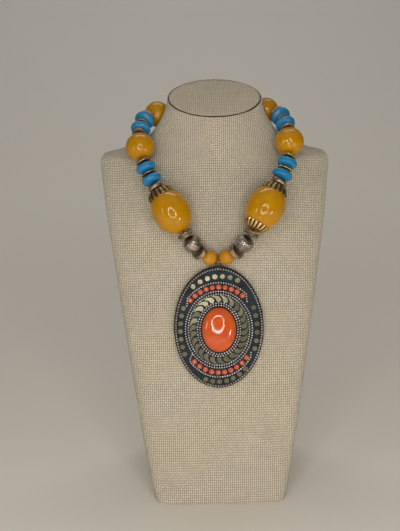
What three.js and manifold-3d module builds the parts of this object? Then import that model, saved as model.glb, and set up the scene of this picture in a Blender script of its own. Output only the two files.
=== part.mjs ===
// Medallion necklace on its linen-covered neck bust.
// Millimetres, +Z up, +X to the right and +Y to the back.
// The origin is the centre of the bust's flat base, on the surface that it stands on.

import * as THREE from "three";
import { mergeVertices } from "three/addons/utils/BufferGeometryUtils.js";
import Module from "manifold-3d";

// ---------------------------------------------------------------- driving dimensions

const GAP = 0.3; // clearance between two pieces that touch

// The bust: one row for each level, from the base up to the cut across the neck. A level is an
// oval of squareness `square`, `half` wide to each side, whose middle runs from `front` to
// `back`. Its front is pushed out by `bulge` in the middle, and `lean` tips it forward.
const BUST_LEVELS = [
  { z: 0, half: 46.8, front: -49, back: 49, bulge: 1, square: 12, lean: 0 },
  { z: 30, half: 52.8, front: -43.8, back: 48, bulge: 2, square: 11, lean: 0 },
  { z: 85, half: 61.2, front: -34, back: 46, bulge: 3.5, square: 10, lean: 0 },
  { z: 140, half: 69.2, front: -24.3, back: 44, bulge: 5.5, square: 9, lean: 0 },
  { z: 175, half: 74.2, front: -17.7, back: 43, bulge: 8, square: 8, lean: 0 },
  { z: 200, half: 77.9, front: -11.5, back: 42.4, bulge: 10.5, square: 8, lean: 0 },
  { z: 220, half: 80.4, front: -5, back: 42.2, bulge: 13, square: 7, lean: 0 },
  { z: 233, half: 81.8, front: -1.5, back: 42, bulge: 15, square: 6.5, lean: 2 },
  { z: 238.5, half: 80.2, front: -0.5, back: 42, bulge: 15, square: 5, lean: 5 },
  { z: 241.5, half: 70, front: -0.3, back: 40.5, bulge: 13, square: 4, lean: 6 },
  { z: 245.5, half: 58.6, front: -0.2, back: 38, bulge: 9.5, square: 3.2, lean: 9 },
  { z: 252.5, half: 46.6, front: -0.4, back: 34.8, bulge: 4.5, square: 2.5, lean: 14 },
  { z: 261, half: 39.6, front: -0.6, back: 33.8, bulge: 2, square: 2.1, lean: 22 },
  { z: 269, half: 35.2, front: -0.5, back: 34.2, bulge: 0.5, square: 2, lean: 30 },
  { z: 276.4, half: 33.3, front: 0, back: 35.4, bulge: 0, square: 2, lean: 35 },
];
const BUST_SHOULDER = 6; // from this row up, the rings stand twice as close
const BUST_OCTANT = 5; // sides from the middle of a face to its corner

// The padded oval that closes the neck, as half its width and half its slanted depth.
const NECK_CAP = { half: 33.5, depth: 22, thick: 2.6, edge: 1.1 };

// The strand. Route points follow the middle of the thread, from the pendant outwards and up
// over the shoulder to the nape.
// The lowest point carries the pendant. `space` is left free on each side of it for the ring,
// and `rise` is how much the first bead climbs.
const LOOP = { y: -23.4, z: 170.8, space: 1.35, rise: 5.7 };
const LEFT_ROUTE = [
  [-12.6, -24.4, 177.3],
  [-17.2, -26.6, 183.2],
  [-20.9, -28.2, 188.9],
  [-42.6, -16.4, 223.2],
  [-44.7, -14.2, 227.1],
  [-48.2, -10.6, 234.2],
  [-53.8, -2.6, 246.8],
  [-52.6, 9.4, 255.6],
  [-49.2, 20.4, 264],
  [-40.8, 37.4, 267.3],
  [-27, 40.5, 267],
];
const RIGHT_ROUTE = [
  [12.4, -24.4, 177],
  [17, -26.8, 182.8],
  [20.8, -28.5, 188.2],
  [42.4, -16.1, 224],
  [44.4, -14, 227.8],
  [48, -10.2, 235.6],
  [52.4, -1.8, 248.6],
  [50.4, 10, 257.4],
  [46.6, 21.6, 265.4],
  [40.4, 38, 269.3],
  [25.5, 40.5, 268],
];
const NAPE = { y: 36.8, z: 267.4 }; // the middle of the clasp
const ROUTE_STEPS = 800;
const NAPE_STEPS = 4;
const THREAD_STEPS = 40;

const THREAD_RADIUS = 0.6;
const BORE_RADIUS = 1.6;
const BORE_INSET = 1; // the thread runs straight from here on in a bore

// Beads: diameter across and length along the thread.
const SMALL_AMBER = { diameter: 10.2, length: 10 };
const ROUND_AMBER = { diameter: 20, length: 19.8 };
const BACK_AMBER = { diameter: 18.6, length: 18.3 };
const LARGE_AMBER = { diameter: 25.6, length: 31.4 };
const RONDELLE = { diameter: 11.8, length: 4 };
const SILVER_BEAD = { diameter: 13.4, length: 10.6 };
const BLUE_BEAD = { diameter: 14, length: 6.5 };
const SPACER = { diameter: 10.4, length: 2.6 };
const THIN_SPACER = { diameter: 10.6, length: 1.9 };
const COLLAR = { diameter: 11, length: 4 };
const SPACER_EDGE = 1.1; // how far a spacer's faces lie inside its waist
// A cap reaches `proud` past the bead's end and wraps `depth` down it.
const BEAD_CAP = { rim: 18.8, neck: 9.6, proud: 1.8, depth: 3.1, wall: 0.7, flutes: 16 };
const GOLD_CAP = { rim: 19.4, neck: 9.2, proud: 1.4, depth: 3.1, wall: 0.7, flutes: 16 };

// The pendant, in its own frame: x across, y up the plate, z out of its face. z = 0 is the back.
const PENDANT = { width: 62, height: 84.4, lean: 10, rim: 3.6, wall: 1, floor: 1 };
const PENDANT_SEAT = { y: -27.4, z: 124.8 }; // the middle of its back, against the chest
const GROUND = { top: 3.1, seat: 2.2 }; // its face, and the floor of the stone's seat
const CABOCHON = { width: 23.6, height: 31, side: 1.2, dome: 4.9 };
const PATTERN_DROP = 1.7; // the middle of the inlay lies this far below the plate's
const CORAL = { diameter: 3.5, proud: 1.1 };
const DISC = { diameter: 3.7, proud: 0.3 };
// Rows of the inlay, on ovals round the middle of the pattern: half the oval's size, the angles
// of the first and last piece clockwise from the top, and how far the ends flare outwards.
const CORAL_ROWS = [
  { across: 27.2, up: 29.6, from: -45.6, to: 37.5, count: 10, flare: 0 },
  { across: 25.4, up: 29.9, from: 131.7, to: 222.6, count: 10, flare: 0 },
];
const DISC_ROWS = [
  { across: 26.6, up: 36.9, from: -38.5, to: 28.5, count: 7, flare: 0.05 },
  { across: 26.4, up: 36.9, from: 66, to: 111.5, count: 6, flare: 0 },
  { across: 26.6, up: 36.2, from: 138.5, to: 201, count: 7, flare: 0.015 },
  { across: 26.6, up: 36.9, from: 243.5, to: 294.5, count: 7, flare: 0 },
];
const COMMA_RING = { width: 29.8, height: 34.4 };
const DOME_STEPS = 4;
const COMMA = { length: 5.6, head: 1.35, tail: 0.3, sweep: 2.2, proud: 0.3, count: 26 };

// The bail is a pierced tab on the plate's top edge. The ring threads it and hangs on the strand.
const BAIL = { outer: 2, hole: 1.35, y: 43.2, z: 2.7, thick: 0.9 };
const RING = { wire: 0.4, pass: 2 }; // the wire's middle passes this far above the thread's

// The barrel clasp at the nape.
const CLASP = { diameter: 5, length: 14, socket: 3 };

// ---------------------------------------------------------------- helpers

const TURN = 2 * Math.PI;
const ALONG_Z = new THREE.Vector3(0, 0, 1);
const vec = (x, y, z) => new THREE.Vector3(x, y, z);

const wasm = await Module();
wasm.setup();

function material(color, roughness, metalness) {
  return new THREE.MeshStandardMaterial({ color, roughness, metalness });
}

function named(name, geometry, look) {
  const mesh = new THREE.Mesh(geometry, look);
  mesh.name = name;
  return mesh;
}

// A closed body from a stack of rings with the same number of points each.
function loft(rings) {
  const sides = rings[0].length;
  const points = rings.flat();
  const centre = (ring) => ring.reduce((sum, p) => sum.add(p), vec(0, 0, 0)).divideScalar(sides);
  const first = points.push(centre(rings[0])) - 1;
  const last = points.push(centre(rings.at(-1))) - 1;
  const faces = [];
  for (let i = 0; i < sides; i += 1) {
    const j = (i + 1) % sides;
    faces.push(first, j, i);
    for (let k = 0; k + 1 < rings.length; k += 1) {
      const a = k * sides;
      const b = a + sides;
      faces.push(a + i, a + j, b + j, a + i, b + j, b + i);
    }
    const top = (rings.length - 1) * sides;
    faces.push(last, top + i, top + j);
  }
  const geometry = new THREE.BufferGeometry().setFromPoints(points);
  geometry.setIndex(faces);
  return geometry;
}

// A turned body whose axis is Z. The profile is a closed list of [radius, height] pairs.
function turned(profile, sides) {
  const points = [...profile, profile[0]].map(([r, h]) => new THREE.Vector2(r, h));
  const geometry = new THREE.LatheGeometry(points, sides);
  geometry.rotateX(Math.PI / 2);
  return geometry;
}

function solid(geometry) {
  const bare = geometry.clone();
  bare.deleteAttribute("normal");
  bare.deleteAttribute("uv");
  const merged = mergeVertices(bare, 1e-4);
  return new wasm.Manifold(
    new wasm.Mesh({
      numProp: 3,
      vertProperties: new Float32Array(merged.attributes.position.array),
      triVerts: new Uint32Array(merged.index.array),
    }),
  );
}

function geometryOf(body) {
  const mesh = body.getMesh();
  const geometry = new THREE.BufferGeometry();
  geometry.setAttribute("position", new THREE.BufferAttribute(mesh.vertProperties, 3));
  geometry.setIndex(new THREE.BufferAttribute(mesh.triVerts, 1));
  return geometry;
}

const joined = (geometries) => geometryOf(geometries.map(solid).reduce((a, b) => a.add(b)));
const cut = (geometry, tool) => geometryOf(solid(geometry).subtract(solid(tool)));

// ---------------------------------------------------------------- the bust

// A column of the table at a share of the way up it, along a smooth curve through its rows.
function levelValue(column, share) {
  const place = share * (BUST_LEVELS.length - 1);
  const i = Math.min(Math.floor(place), BUST_LEVELS.length - 2);
  const t = place - i;
  const value = (k) => BUST_LEVELS[THREE.MathUtils.clamp(k, 0, BUST_LEVELS.length - 1)][column];
  const from = value(i);
  const to = value(i + 1);
  const slopeIn = (to - value(i - 1)) / 2;
  const slopeOut = (value(i + 2) - from) / 2;
  const cubic = 2 * from - 2 * to + slopeIn + slopeOut;
  const square = 3 * to - 3 * from - 2 * slopeIn - slopeOut;
  return ((cubic * t + square) * t + slopeIn) * t + from;
}

// A point of a squared oval of half-size 1, as its share of the way from the middle of a face
// to the corner: how far it lies along the face, and how far out.
function squaredOval(share, square) {
  const along = 0.5 ** (1 / square) * Math.sin((Math.PI / 2) * share);
  return [along, (1 - along ** square) ** (1 / square)];
}

function bustRing(share) {
  const at = (column) => levelValue(column, share);
  const lean = THREE.MathUtils.degToRad(at("lean"));
  const bulge = at("bulge");
  const middle = (at("back") + at("front") + bulge) / 2;
  const depth = (at("back") - at("front") - bulge) / 2;
  const ring = [];
  for (let i = 0; i < 8 * BUST_OCTANT; i += 1) {
    const octant = Math.floor(i / BUST_OCTANT);
    const step = (i % BUST_OCTANT) / BUST_OCTANT;
    const [along, out] = squaredOval(octant % 2 ? 1 - step : step, at("square"));
    const onSide = [1, 2, 5, 6].includes(octant);
    const across = (octant < 4 ? 1 : -1) * (onSide ? out : along);
    const behind = (octant > 1 && octant < 6 ? 1 : -1) * (onSide ? along : out);
    const crown = behind < 0 ? bulge * (1 - across * across) : 0;
    const back = depth * behind - crown;
    ring.push(vec(at("half") * across, middle + back, at("z") + back * Math.tan(lean)));
  }
  return ring;
}

function bust() {
  const last = BUST_LEVELS.length - 1;
  const rings = [];
  for (let row = 0; row <= last; row += row < BUST_SHOULDER ? 1 : 0.5) {
    rings.push(bustRing(row / last));
  }
  return loft(rings);
}

// A flat oval with a rounded upper edge, square to the slanted cut across the neck.
function neckCap() {
  const { half, depth, thick, edge } = NECK_CAP;
  const steps = [
    { inset: 0, up: -thick },
    { inset: 0, up: -edge },
    { inset: edge * 0.3, up: -edge * 0.3 },
    { inset: edge, up: 0 },
  ];
  const rings = steps.map(({ inset, up }) =>
    new THREE.EllipseCurve(0, 0, half - inset, depth - inset, 0, TURN)
      .getSpacedPoints(32)
      .slice(0, -1)
      .map((p) => vec(p.x, p.y, up)),
  );
  return loft(rings);
}

// Sets the cap on the slanted top of the bust.
function seatedOnNeck(cap) {
  const top = BUST_LEVELS.at(-1);
  const lean = THREE.MathUtils.degToRad(top.lean);
  const rise = NECK_CAP.thick + GAP;
  cap.rotation.x = lean;
  cap.position.set(
    0,
    (top.front + top.back) / 2 - rise * Math.sin(lean),
    top.z + rise * Math.cos(lean),
  );
  return cap;
}

// ---------------------------------------------------------------- the beads

// A rounded bead's outline, bulging as a superellipse of the given squareness.
function roundedProfile({ size, square, steps }) {
  const radius = size.diameter / 2;
  const reach = Math.acos((BORE_RADIUS / radius) ** (square / 2));
  const profile = [];
  for (let i = 0; i <= steps; i += 1) {
    const angle = -reach + (2 * reach * i) / steps;
    const along = Math.abs(Math.sin(angle) / Math.sin(reach)) ** (2 / square);
    profile.push([
      radius * Math.cos(angle) ** (2 / square),
      (Math.sign(angle) * along * size.length) / 2,
    ]);
  }
  return profile;
}

// How far a bead's end falls back at a distance from its axis.
function recess({ size, square }, distance) {
  if (!square || distance <= BORE_RADIUS) {
    return 0;
  }
  const radius = size.diameter / 2;
  const reach = Math.acos((BORE_RADIUS / radius) ** (square / 2));
  const angle = Math.acos((distance / radius) ** (square / 2));
  return (1 - (Math.sin(angle) / Math.sin(reach)) ** (2 / square)) * (size.length / 2);
}

// A metal disc with a raised waist, as rolled beads and spacers have.
function spacerProfile({ size }) {
  const outer = size.diameter / 2;
  const half = size.length / 2;
  return [
    [BORE_RADIUS, -half],
    [outer - SPACER_EDGE, -half],
    [outer, 0],
    [outer - SPACER_EDGE, half],
    [BORE_RADIUS, half],
  ];
}

function beadGeometry(kind) {
  return turned(kind.square ? roundedProfile(kind) : spacerProfile(kind), kind.sides);
}

// A fluted dish over the end of the large bead. z = 0 is the bead's end and +z points outwards.
function beadCap({ rim, neck, proud, depth, wall, flutes }) {
  const outer = rim / 2;
  const small = neck / 2;
  const shape = turned(
    [
      [BORE_RADIUS, GAP],
      [small, -0.4],
      [outer - wall, -depth],
      [outer, -depth],
      [(outer + small) / 2 + 0.6, (proud - depth) / 2],
      [small, proud],
      [BORE_RADIUS, proud],
    ],
    2 * flutes,
  );
  const places = shape.attributes.position;
  for (let i = 0; i < places.count; i += 1) {
    const radius = Math.hypot(places.getX(i), places.getY(i));
    const angle = Math.atan2(places.getY(i), places.getX(i));
    const share = THREE.MathUtils.clamp((radius - small) / (outer - small), 0, 1);
    const wave = 1 + (0.3 * share * (1 + Math.cos(flutes * angle))) / outer;
    places.setX(i, places.getX(i) * wave);
    places.setY(i, places.getY(i) * wave);
  }
  return shape;
}

const amber = material("#c8890f", 0.15, 0);
const blueGlass = material("#2479b8", 0.25, 0);
const antiqueBrass = material("#8d7a5a", 0.4, 1);
const goldPlate = material("#d9b55a", 0.3, 1);
const oldSilver = material("#b9b2a8", 0.35, 1);
const linen = material("#b5a48a", 0.9, 0);
const cord = material("#2e2620", 0.8, 0);
const darkLac = material("#16222b", 0.3, 0);
const coralStone = material("#d8431f", 0.2, 0);

// A bead with a squareness is rounded, in that many steps along it. The others are spacers.
const KINDS = {
  small_amber: { size: SMALL_AMBER, square: 2, steps: 6, sides: 12, look: amber },
  rondelle: { size: RONDELLE, sides: 12, look: antiqueBrass },
  silver_bead: { size: SILVER_BEAD, square: 2.4, steps: 6, sides: 12, look: oldSilver },
  large_amber: { size: LARGE_AMBER, square: 2.2, steps: 10, sides: 16, look: amber },
  collar: { size: COLLAR, sides: 10, look: antiqueBrass },
  blue: { size: BLUE_BEAD, square: 2.3, steps: 4, sides: 12, look: blueGlass },
  thin_spacer: { size: THIN_SPACER, sides: 10, look: antiqueBrass },
  spacer: { size: SPACER, sides: 10, look: antiqueBrass },
  round_amber: { size: ROUND_AMBER, square: 2, steps: 8, sides: 16, look: amber },
  back_amber: { size: BACK_AMBER, square: 2, steps: 7, sides: 14, look: amber },
};

// One side of the strand, from the pendant to the nape. Beads in one row share a straight run.
const BEADS = [
  ["small_amber"],
  ["rondelle_1"],
  ["silver_bead"],
  ["rondelle_2"],
  ["large_amber", "collar"],
  ["blue_1"],
  ["thin_spacer_1"],
  ["blue_2"],
  ["spacer_1"],
  ["round_amber"],
  ["spacer_2"],
  ["blue_3"],
  ["thin_spacer_2"],
  ["blue_4"],
  ["spacer_3"],
  ["back_amber"],
];

// Metal caps on the large beads: the one below faces the pendant.
const CAPS = {
  left: { above: ["bead_cap", BEAD_CAP, antiqueBrass] },
  right: {
    below: ["gold_cap", GOLD_CAP, goldPlate],
    above: ["bead_cap", BEAD_CAP, antiqueBrass],
  },
};

// The point on a route whose straight distance from `from` is `reach`, past the place `after`.
function stepAlong(route, from, after, reach) {
  let near = after;
  let far = Math.min(1, after + (1.5 * reach) / route.getLength());
  for (let i = 0; i < 40; i += 1) {
    const middle = (near + far) / 2;
    if (route.getPointAt(middle).distanceTo(from) < reach) {
      near = middle;
    } else {
      far = middle;
    }
  }
  return { place: near, point: route.getPointAt(near) };
}

// Sets a mesh at a place with its own Z along the way given.
function facing(mesh, place, way) {
  mesh.position.copy(place);
  mesh.quaternion.setFromUnitVectors(ALONG_Z, way);
  return mesh;
}

// Threads one straight run of beads from a point along a way.
function run(side, beads, from, way) {
  const group = new THREE.Group();
  const at = (distance) => from.clone().addScaledVector(way, distance);
  const back = way.clone().negate();
  let distance = 0;
  for (const bead of beads) {
    const kind = kindOf(bead);
    const { length } = kind.size;
    const caps = bead === "large_amber" ? CAPS[side] : {};
    if (caps.below) {
      const [name, cap, metal] = caps.below;
      distance += cap.proud;
      group.add(facing(named(`${side}_${name}`, beadCap(cap), metal), at(distance), back));
    }
    const mesh = named(`${side}_${bead}`, beadGeometry(kind), kind.look);
    group.add(facing(mesh, at(distance + length / 2), way));
    distance += length;
    if (caps.above) {
      const [name, cap, metal] = caps.above;
      group.add(facing(named(`${side}_${name}`, beadCap(cap), metal), at(distance), way));
      distance += cap.proud;
    }
    distance += GAP;
  }
  return group;
}

const kindOf = (bead) => KINDS[bead.replace(/_\d$/, "")];

// The length of one straight run, without the gap after it.
function runLength(side, beads) {
  const lengths = beads.map((bead) => kindOf(bead).size.length + GAP);
  const caps = beads.includes("large_amber") ? Object.values(CAPS[side]) : [];
  const proud = caps.map(([, cap]) => cap.proud);
  return [...lengths, ...proud].reduce((sum, length) => sum + length, -GAP);
}

// What a run's first piece shows to the one before it: a cap hides the bead's rounded end.
function facingKind(side, beads) {
  const below = beads[0] === "large_amber" && CAPS[side].below;
  return below ? { size: { diameter: below[1].neck + 2 * SPACER_EDGE } } : kindOf(beads[0]);
}

// The gap at a bend, where a flat face tips against the rounded end of its neighbour.
function bendGap(before, after, bend) {
  const flat = before.square ? after : before;
  const rounded = before.square ? before : after;
  const edge = Math.min(flat.size.diameter, rounded.size.diameter) / 2 - SPACER_EDGE;
  const reaches = [0.25, 0.5, 0.75, 1].map((share) => share * edge);
  const tips = reaches.map((r) => r * Math.sin(bend) - recess(rounded, r * Math.cos(bend)));
  return GAP + Math.max(0, ...tips);
}

// Finds where the next run lies, as far past the last one as their bend needs.
function nextRun(route, here, length, before, after) {
  let gap = GAP;
  let run;
  for (let i = 0; i < 6; i += 1) {
    const start = before ? stepAlong(route, here.point, here.place, gap) : here;
    const end = stepAlong(route, start.point, start.place, length);
    run = { start, end, way: end.point.clone().sub(start.point).normalize() };
    gap = before ? bendGap(before, after, here.way.angleTo(run.way)) : gap;
  }
  return run;
}

// Threads one side's beads on its route. Returns the beads and the path of their bores.
function strand(side, points) {
  const sign = Math.sign(points[0][0]);
  const start = vec(sign * LOOP.space, LOOP.y, LOOP.z);
  const first = vec(sign * (LOOP.space + SMALL_AMBER.length), LOOP.y, LOOP.z + LOOP.rise);
  const clasp = vec(sign * (CLASP.length / 2 + 1), NAPE.y, NAPE.z);
  const controls = [start, first, ...points.map((p) => vec(...p)), clasp];
  const route = new THREE.CatmullRomCurve3(controls, false, "centripetal");
  route.arcLengthDivisions = ROUTE_STEPS;
  const group = new THREE.Group();
  const path = [];
  let here = { place: 0, point: start };
  let before;
  for (const beads of BEADS) {
    const length = runLength(side, beads);
    const next = nextRun(route, here, length, before, facingKind(side, beads));
    group.add(run(side, beads, next.start.point, next.way));
    const inset = Math.min(0.2, BORE_INSET / length);
    const inside = (share) => next.start.point.clone().lerp(next.end.point, share);
    path.push(inside(inset), inside(1 - inset));
    here = { ...next.end, way: next.way };
    before = kindOf(beads.at(-1));
  }
  path.push(here.point.clone().addScaledVector(here.way, 1.5));
  for (let i = 1; i <= NAPE_STEPS; i += 1) {
    path.push(route.getPointAt(here.place + ((1 - here.place) * i) / NAPE_STEPS));
  }
  path.push(vec(sign * (CLASP.length / 2 - CLASP.socket + GAP), NAPE.y, NAPE.z));
  return { group, path };
}

// A round thread along a path, with flat ends.
function thread(path, steps) {
  const section = new THREE.Shape(
    new THREE.EllipseCurve(0, 0, THREAD_RADIUS, THREAD_RADIUS, 0, TURN).getPoints(8).slice(0, -1),
  );
  const extrudePath = new THREE.CatmullRomCurve3(path, false, "centripetal");
  return new THREE.ExtrudeGeometry(section, { steps, extrudePath, bevelEnabled: false });
}

// ---------------------------------------------------------------- the pendant

const oval = (width, height, sides) =>
  new THREE.Shape(
    new THREE.EllipseCurve(0, 0, width / 2, height / 2, 0, TURN).getPoints(sides).slice(0, -1),
  );

function slab(shape, low, high) {
  const geometry = new THREE.ExtrudeGeometry(shape, {
    depth: high - low,
    bevelEnabled: false,
    curveSegments: 8,
  });
  geometry.translate(0, 0, low);
  return geometry;
}

// The metal tray that holds the ground, with the pierced bail tab soldered to its top edge.
function setting() {
  const { width, height, rim, wall, floor } = PENDANT;
  const outside = oval(width, height, 48);
  const inside = oval(width - 2 * wall, height - 2 * wall, 48);
  const tray = cut(slab(outside, 0, rim), slab(inside, floor, rim + 1));
  const tab = new THREE.Shape();
  tab.moveTo(-BAIL.outer, height / 2 - wall / 2);
  tab.lineTo(BAIL.outer, height / 2 - wall / 2);
  tab.lineTo(BAIL.outer, BAIL.y);
  tab.absarc(0, BAIL.y, BAIL.outer, 0, Math.PI);
  const pierced = new THREE.Path();
  pierced.absarc(0, BAIL.y, BAIL.hole, 0, TURN, true);
  tab.holes.push(pierced);
  const low = BAIL.z - BAIL.thick / 2;
  return joined([tray, slab(tab, low, low + BAIL.thick)]);
}

// A low dome or stud of the given size, standing on the ground's face.
function stud({ diameter, proud }, domed) {
  const foot = GROUND.top - 0.4;
  const top = GROUND.top + proud;
  const radius = diameter / 2;
  const levels = domed
    ? [[1, foot], [1, GROUND.top], [0.75, top - 0.3 * proud]]
    : [[1, foot]];
  const rings = [...levels, [domed ? 0.35 : 1, top]].map(([share, z]) =>
    new THREE.EllipseCurve(0, 0, radius * share, radius * share, 0, TURN)
      .getPoints(7)
      .slice(0, -1)
      .map((p) => vec(p.x, p.y, z)),
  );
  return loft(rings);
}

// One comma of the ring: a fat head inwards and a tail that sweeps out to one side.
function comma() {
  const { length, head, tail, sweep, proud } = COMMA;
  const shape = new THREE.Shape([
    new THREE.Vector2(-head, 0.2 * length),
    new THREE.Vector2(-0.6 * head, 0),
    new THREE.Vector2(0.6 * head, 0),
    new THREE.Vector2(head, 0.2 * length),
    new THREE.Vector2(0.7 * head - 0.4 * sweep, 0.6 * length),
    new THREE.Vector2(tail - sweep, length),
    new THREE.Vector2(-tail - sweep, length),
  ]);
  return slab(shape, GROUND.top - 0.4, GROUND.top + proud);
}

// Copies of a small body, evenly spread between two angles of an oval row.
function row(body, { across, up, from, to, count, flare }) {
  return Array.from({ length: count }, (_, i) => {
    const t = (2 * i) / (count - 1) - 1;
    const angle = THREE.MathUtils.degToRad(from + ((to - from) * (t + 1)) / 2);
    const reach = 1 + flare * t * t;
    const x = reach * across * Math.sin(angle);
    const y = reach * up * Math.cos(angle) - PATTERN_DROP;
    return body.clone().translate(x, y, 0);
  });
}

// The ring of commas, each turned to point away from the stone.
function commaRing() {
  const one = comma();
  const { width, height } = COMMA_RING;
  const path = new THREE.EllipseCurve(0, 0, width / 2, height / 2, 0, TURN);
  return path.getSpacedPoints(COMMA.count).slice(0, -1).map((p) => {
    const outwards = Math.atan2(p.y / height ** 2, p.x / width ** 2);
    return one.clone().rotateZ(outwards - Math.PI / 2).translate(p.x, p.y - PATTERN_DROP, 0);
  });
}

// The dark ground that fills the tray, with the stone's seat sunk in it and its inlay on it.
function ground() {
  const { width, height, wall, floor } = PENDANT;
  const margin = 2 * (wall + GAP);
  const bed = slab(oval(width - margin, height - margin, 40), floor + GAP, GROUND.top);
  const seat = slab(
    oval(CABOCHON.width + 2 * GAP, CABOCHON.height + 2 * GAP, 28),
    GROUND.seat,
    GROUND.top + 1,
  );
  seat.translate(0, -PATTERN_DROP, 0);
  const corals = CORAL_ROWS.flatMap((place) => row(stud(CORAL, true), place));
  const discs = DISC_ROWS.flatMap((place) => row(stud(DISC, false), place));
  return joined([cut(bed, seat), ...corals, ...discs, ...commaRing()]);
}

// The polished oval stone: a short upright side and a dome.
function cabochon() {
  const { width, height, side, dome } = CABOCHON;
  const low = GROUND.seat + GAP;
  const levels = [[1, low], [1, low + side]];
  for (let i = 1; i < DOME_STEPS; i += 1) {
    const angle = (TURN * i) / (4 * DOME_STEPS);
    levels.push([Math.cos(angle), low + side + dome * Math.sin(angle)]);
  }
  levels.push([0.12, low + side + dome]);
  const rings = levels.map(([share, z]) =>
    new THREE.EllipseCurve(0, 0, (width / 2) * share, (height / 2) * share, 0, TURN)
      .getPoints(28)
      .slice(0, -1)
      .map((p) => vec(p.x, p.y - PATTERN_DROP, z)),
  );
  return loft(rings);
}

// The ring passes round the thread and through the bail's hole.
function jumpRing(thread) {
  const hole = vec(0, BAIL.y, BAIL.z);
  const way = thread.clone().sub(hole).normalize();
  const radius = (thread.distanceTo(hole) + RING.pass) / 2;
  const ring = named("jump_ring", new THREE.TorusGeometry(radius, RING.wire, 8, 20), antiqueBrass);
  ring.rotation.y = Math.PI / 2;
  ring.position.copy(hole).addScaledVector(way, radius);
  return ring;
}

function pendant() {
  const lean = THREE.MathUtils.degToRad(PENDANT.lean);
  const group = new THREE.Group();
  group.rotation.x = Math.PI / 2 - lean;
  group.position.set(0, PENDANT_SEAT.y, PENDANT_SEAT.z);
  group.updateMatrix();
  const thread = vec(0, LOOP.y, LOOP.z).applyMatrix4(group.matrix.clone().invert());
  group.add(
    named("pendant_setting", setting(), antiqueBrass),
    named("pendant_ground", ground(), darkLac),
    named("centre_cabochon", cabochon(), coralStone),
    jumpRing(thread),
  );
  return group;
}

// ---------------------------------------------------------------- the clasp and the whole

// A barrel with a socket in each end for the thread.
function clasp() {
  const outer = CLASP.diameter / 2;
  const half = CLASP.length / 2;
  const socket = THREAD_RADIUS + GAP;
  const edge = 0.5;
  const profile = [
    [0, CLASP.socket - half],
    [socket, CLASP.socket - half],
    [socket, -half],
    [outer - edge, -half],
    [outer, edge - half],
    [outer, half - edge],
    [outer - edge, half],
    [socket, half],
    [socket, half - CLASP.socket],
    [0, half - CLASP.socket],
  ];
  const barrel = new THREE.LatheGeometry(profile.map(([r, h]) => new THREE.Vector2(r, h)), 12);
  barrel.rotateZ(Math.PI / 2);
  barrel.translate(0, NAPE.y, NAPE.z);
  return barrel;
}

const left = strand("left", LEFT_ROUTE);
const right = strand("right", RIGHT_ROUTE);

// The two threads meet inside the first bead on the right.
const [boreStart, boreEnd] = right.path;
const meeting = boreStart.clone().lerp(boreEnd, 0.5);
const past = boreStart.clone().lerp(boreEnd, 0.5 + GAP / boreStart.distanceTo(boreEnd));

const necklace = new THREE.Group();
necklace.add(
  named("bust_form", bust(), linen),
  seatedOnNeck(named("neck_cap", neckCap(), linen)),
  left.group,
  right.group,
  named("thread_left", thread([meeting, boreStart, ...left.path], THREAD_STEPS), cord),
  named("thread_right", thread([past, ...right.path.slice(1)], THREAD_STEPS), cord),
  named("clasp", clasp(), antiqueBrass),
  pendant(),
);

export default necklace;
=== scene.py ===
# %% [markdown]
# # A medallion necklace on its linen neck bust
#
# A statement necklace in the style of old trade-bead jewellery: big amber-coloured resin
# beads, blue glass rondelles, cast metal spacers and a large oval medallion of dark lac inlaid
# with brass, coral and silver. It hangs on a plain shop bust covered with coarse linen.
#
# The solid model of the necklace is already packed, and it fixes every size and place. This
# notebook dresses it: each cell makes one kind of piece in fine detail, gives it its material,
# and lets it ride on the body of the solid model that it belongs to.

from math import acos, asin, atan2, copysign, cos, hypot, pi, radians, sin, tan

import bmesh
import bpy
import numpy as np
from mathutils import Matrix, Vector, noise


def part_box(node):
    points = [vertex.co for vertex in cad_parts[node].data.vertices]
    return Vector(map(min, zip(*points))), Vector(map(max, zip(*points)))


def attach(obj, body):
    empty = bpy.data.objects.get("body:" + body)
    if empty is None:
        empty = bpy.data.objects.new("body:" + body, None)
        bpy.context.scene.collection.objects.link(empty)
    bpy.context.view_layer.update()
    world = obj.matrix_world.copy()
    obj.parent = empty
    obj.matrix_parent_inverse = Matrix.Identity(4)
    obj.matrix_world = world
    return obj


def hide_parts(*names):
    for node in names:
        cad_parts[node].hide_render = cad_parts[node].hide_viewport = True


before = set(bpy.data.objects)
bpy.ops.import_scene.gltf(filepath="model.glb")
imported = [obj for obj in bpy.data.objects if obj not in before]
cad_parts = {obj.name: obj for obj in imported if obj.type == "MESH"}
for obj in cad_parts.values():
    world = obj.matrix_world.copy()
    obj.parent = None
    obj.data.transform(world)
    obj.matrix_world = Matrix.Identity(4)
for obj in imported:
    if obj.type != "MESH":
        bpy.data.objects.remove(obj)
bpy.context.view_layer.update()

# %% [markdown]
# ## Camera
#
# The camera stands a little over half a metre in front of the bust and looks slightly down on
# it. It is made first, so that every later piece can be looked at while it is being made.

# %% The camera
MM = 0.001
TURN = 2 * pi

CAMERA_PLACE = Vector((-22.57, -554.3, 303.1)) * MM
CAMERA_AIM = Vector((0.0186, 0.9688, -0.2470))
CAMERA_ROLL = radians(-0.72)
CAMERA_LENS = 54.24  # mm, on the long side of the picture


def in_scene(name, data):
    """An object at the origin of the scene."""
    made = bpy.data.objects.new(name, data)
    bpy.context.scene.collection.objects.link(made)
    return made


def facing(place, x, y, z):
    """A matrix with its origin in a place and its axes along three directions."""
    return Matrix.Translation(place) @ Matrix((x, y, z)).transposed().to_4x4()


view_right = CAMERA_AIM.cross(Vector((0, 0, 1))).normalized()
view_up = view_right.cross(CAMERA_AIM).normalized()
tilt = Matrix.Rotation(-CAMERA_ROLL, 3, CAMERA_AIM)

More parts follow.
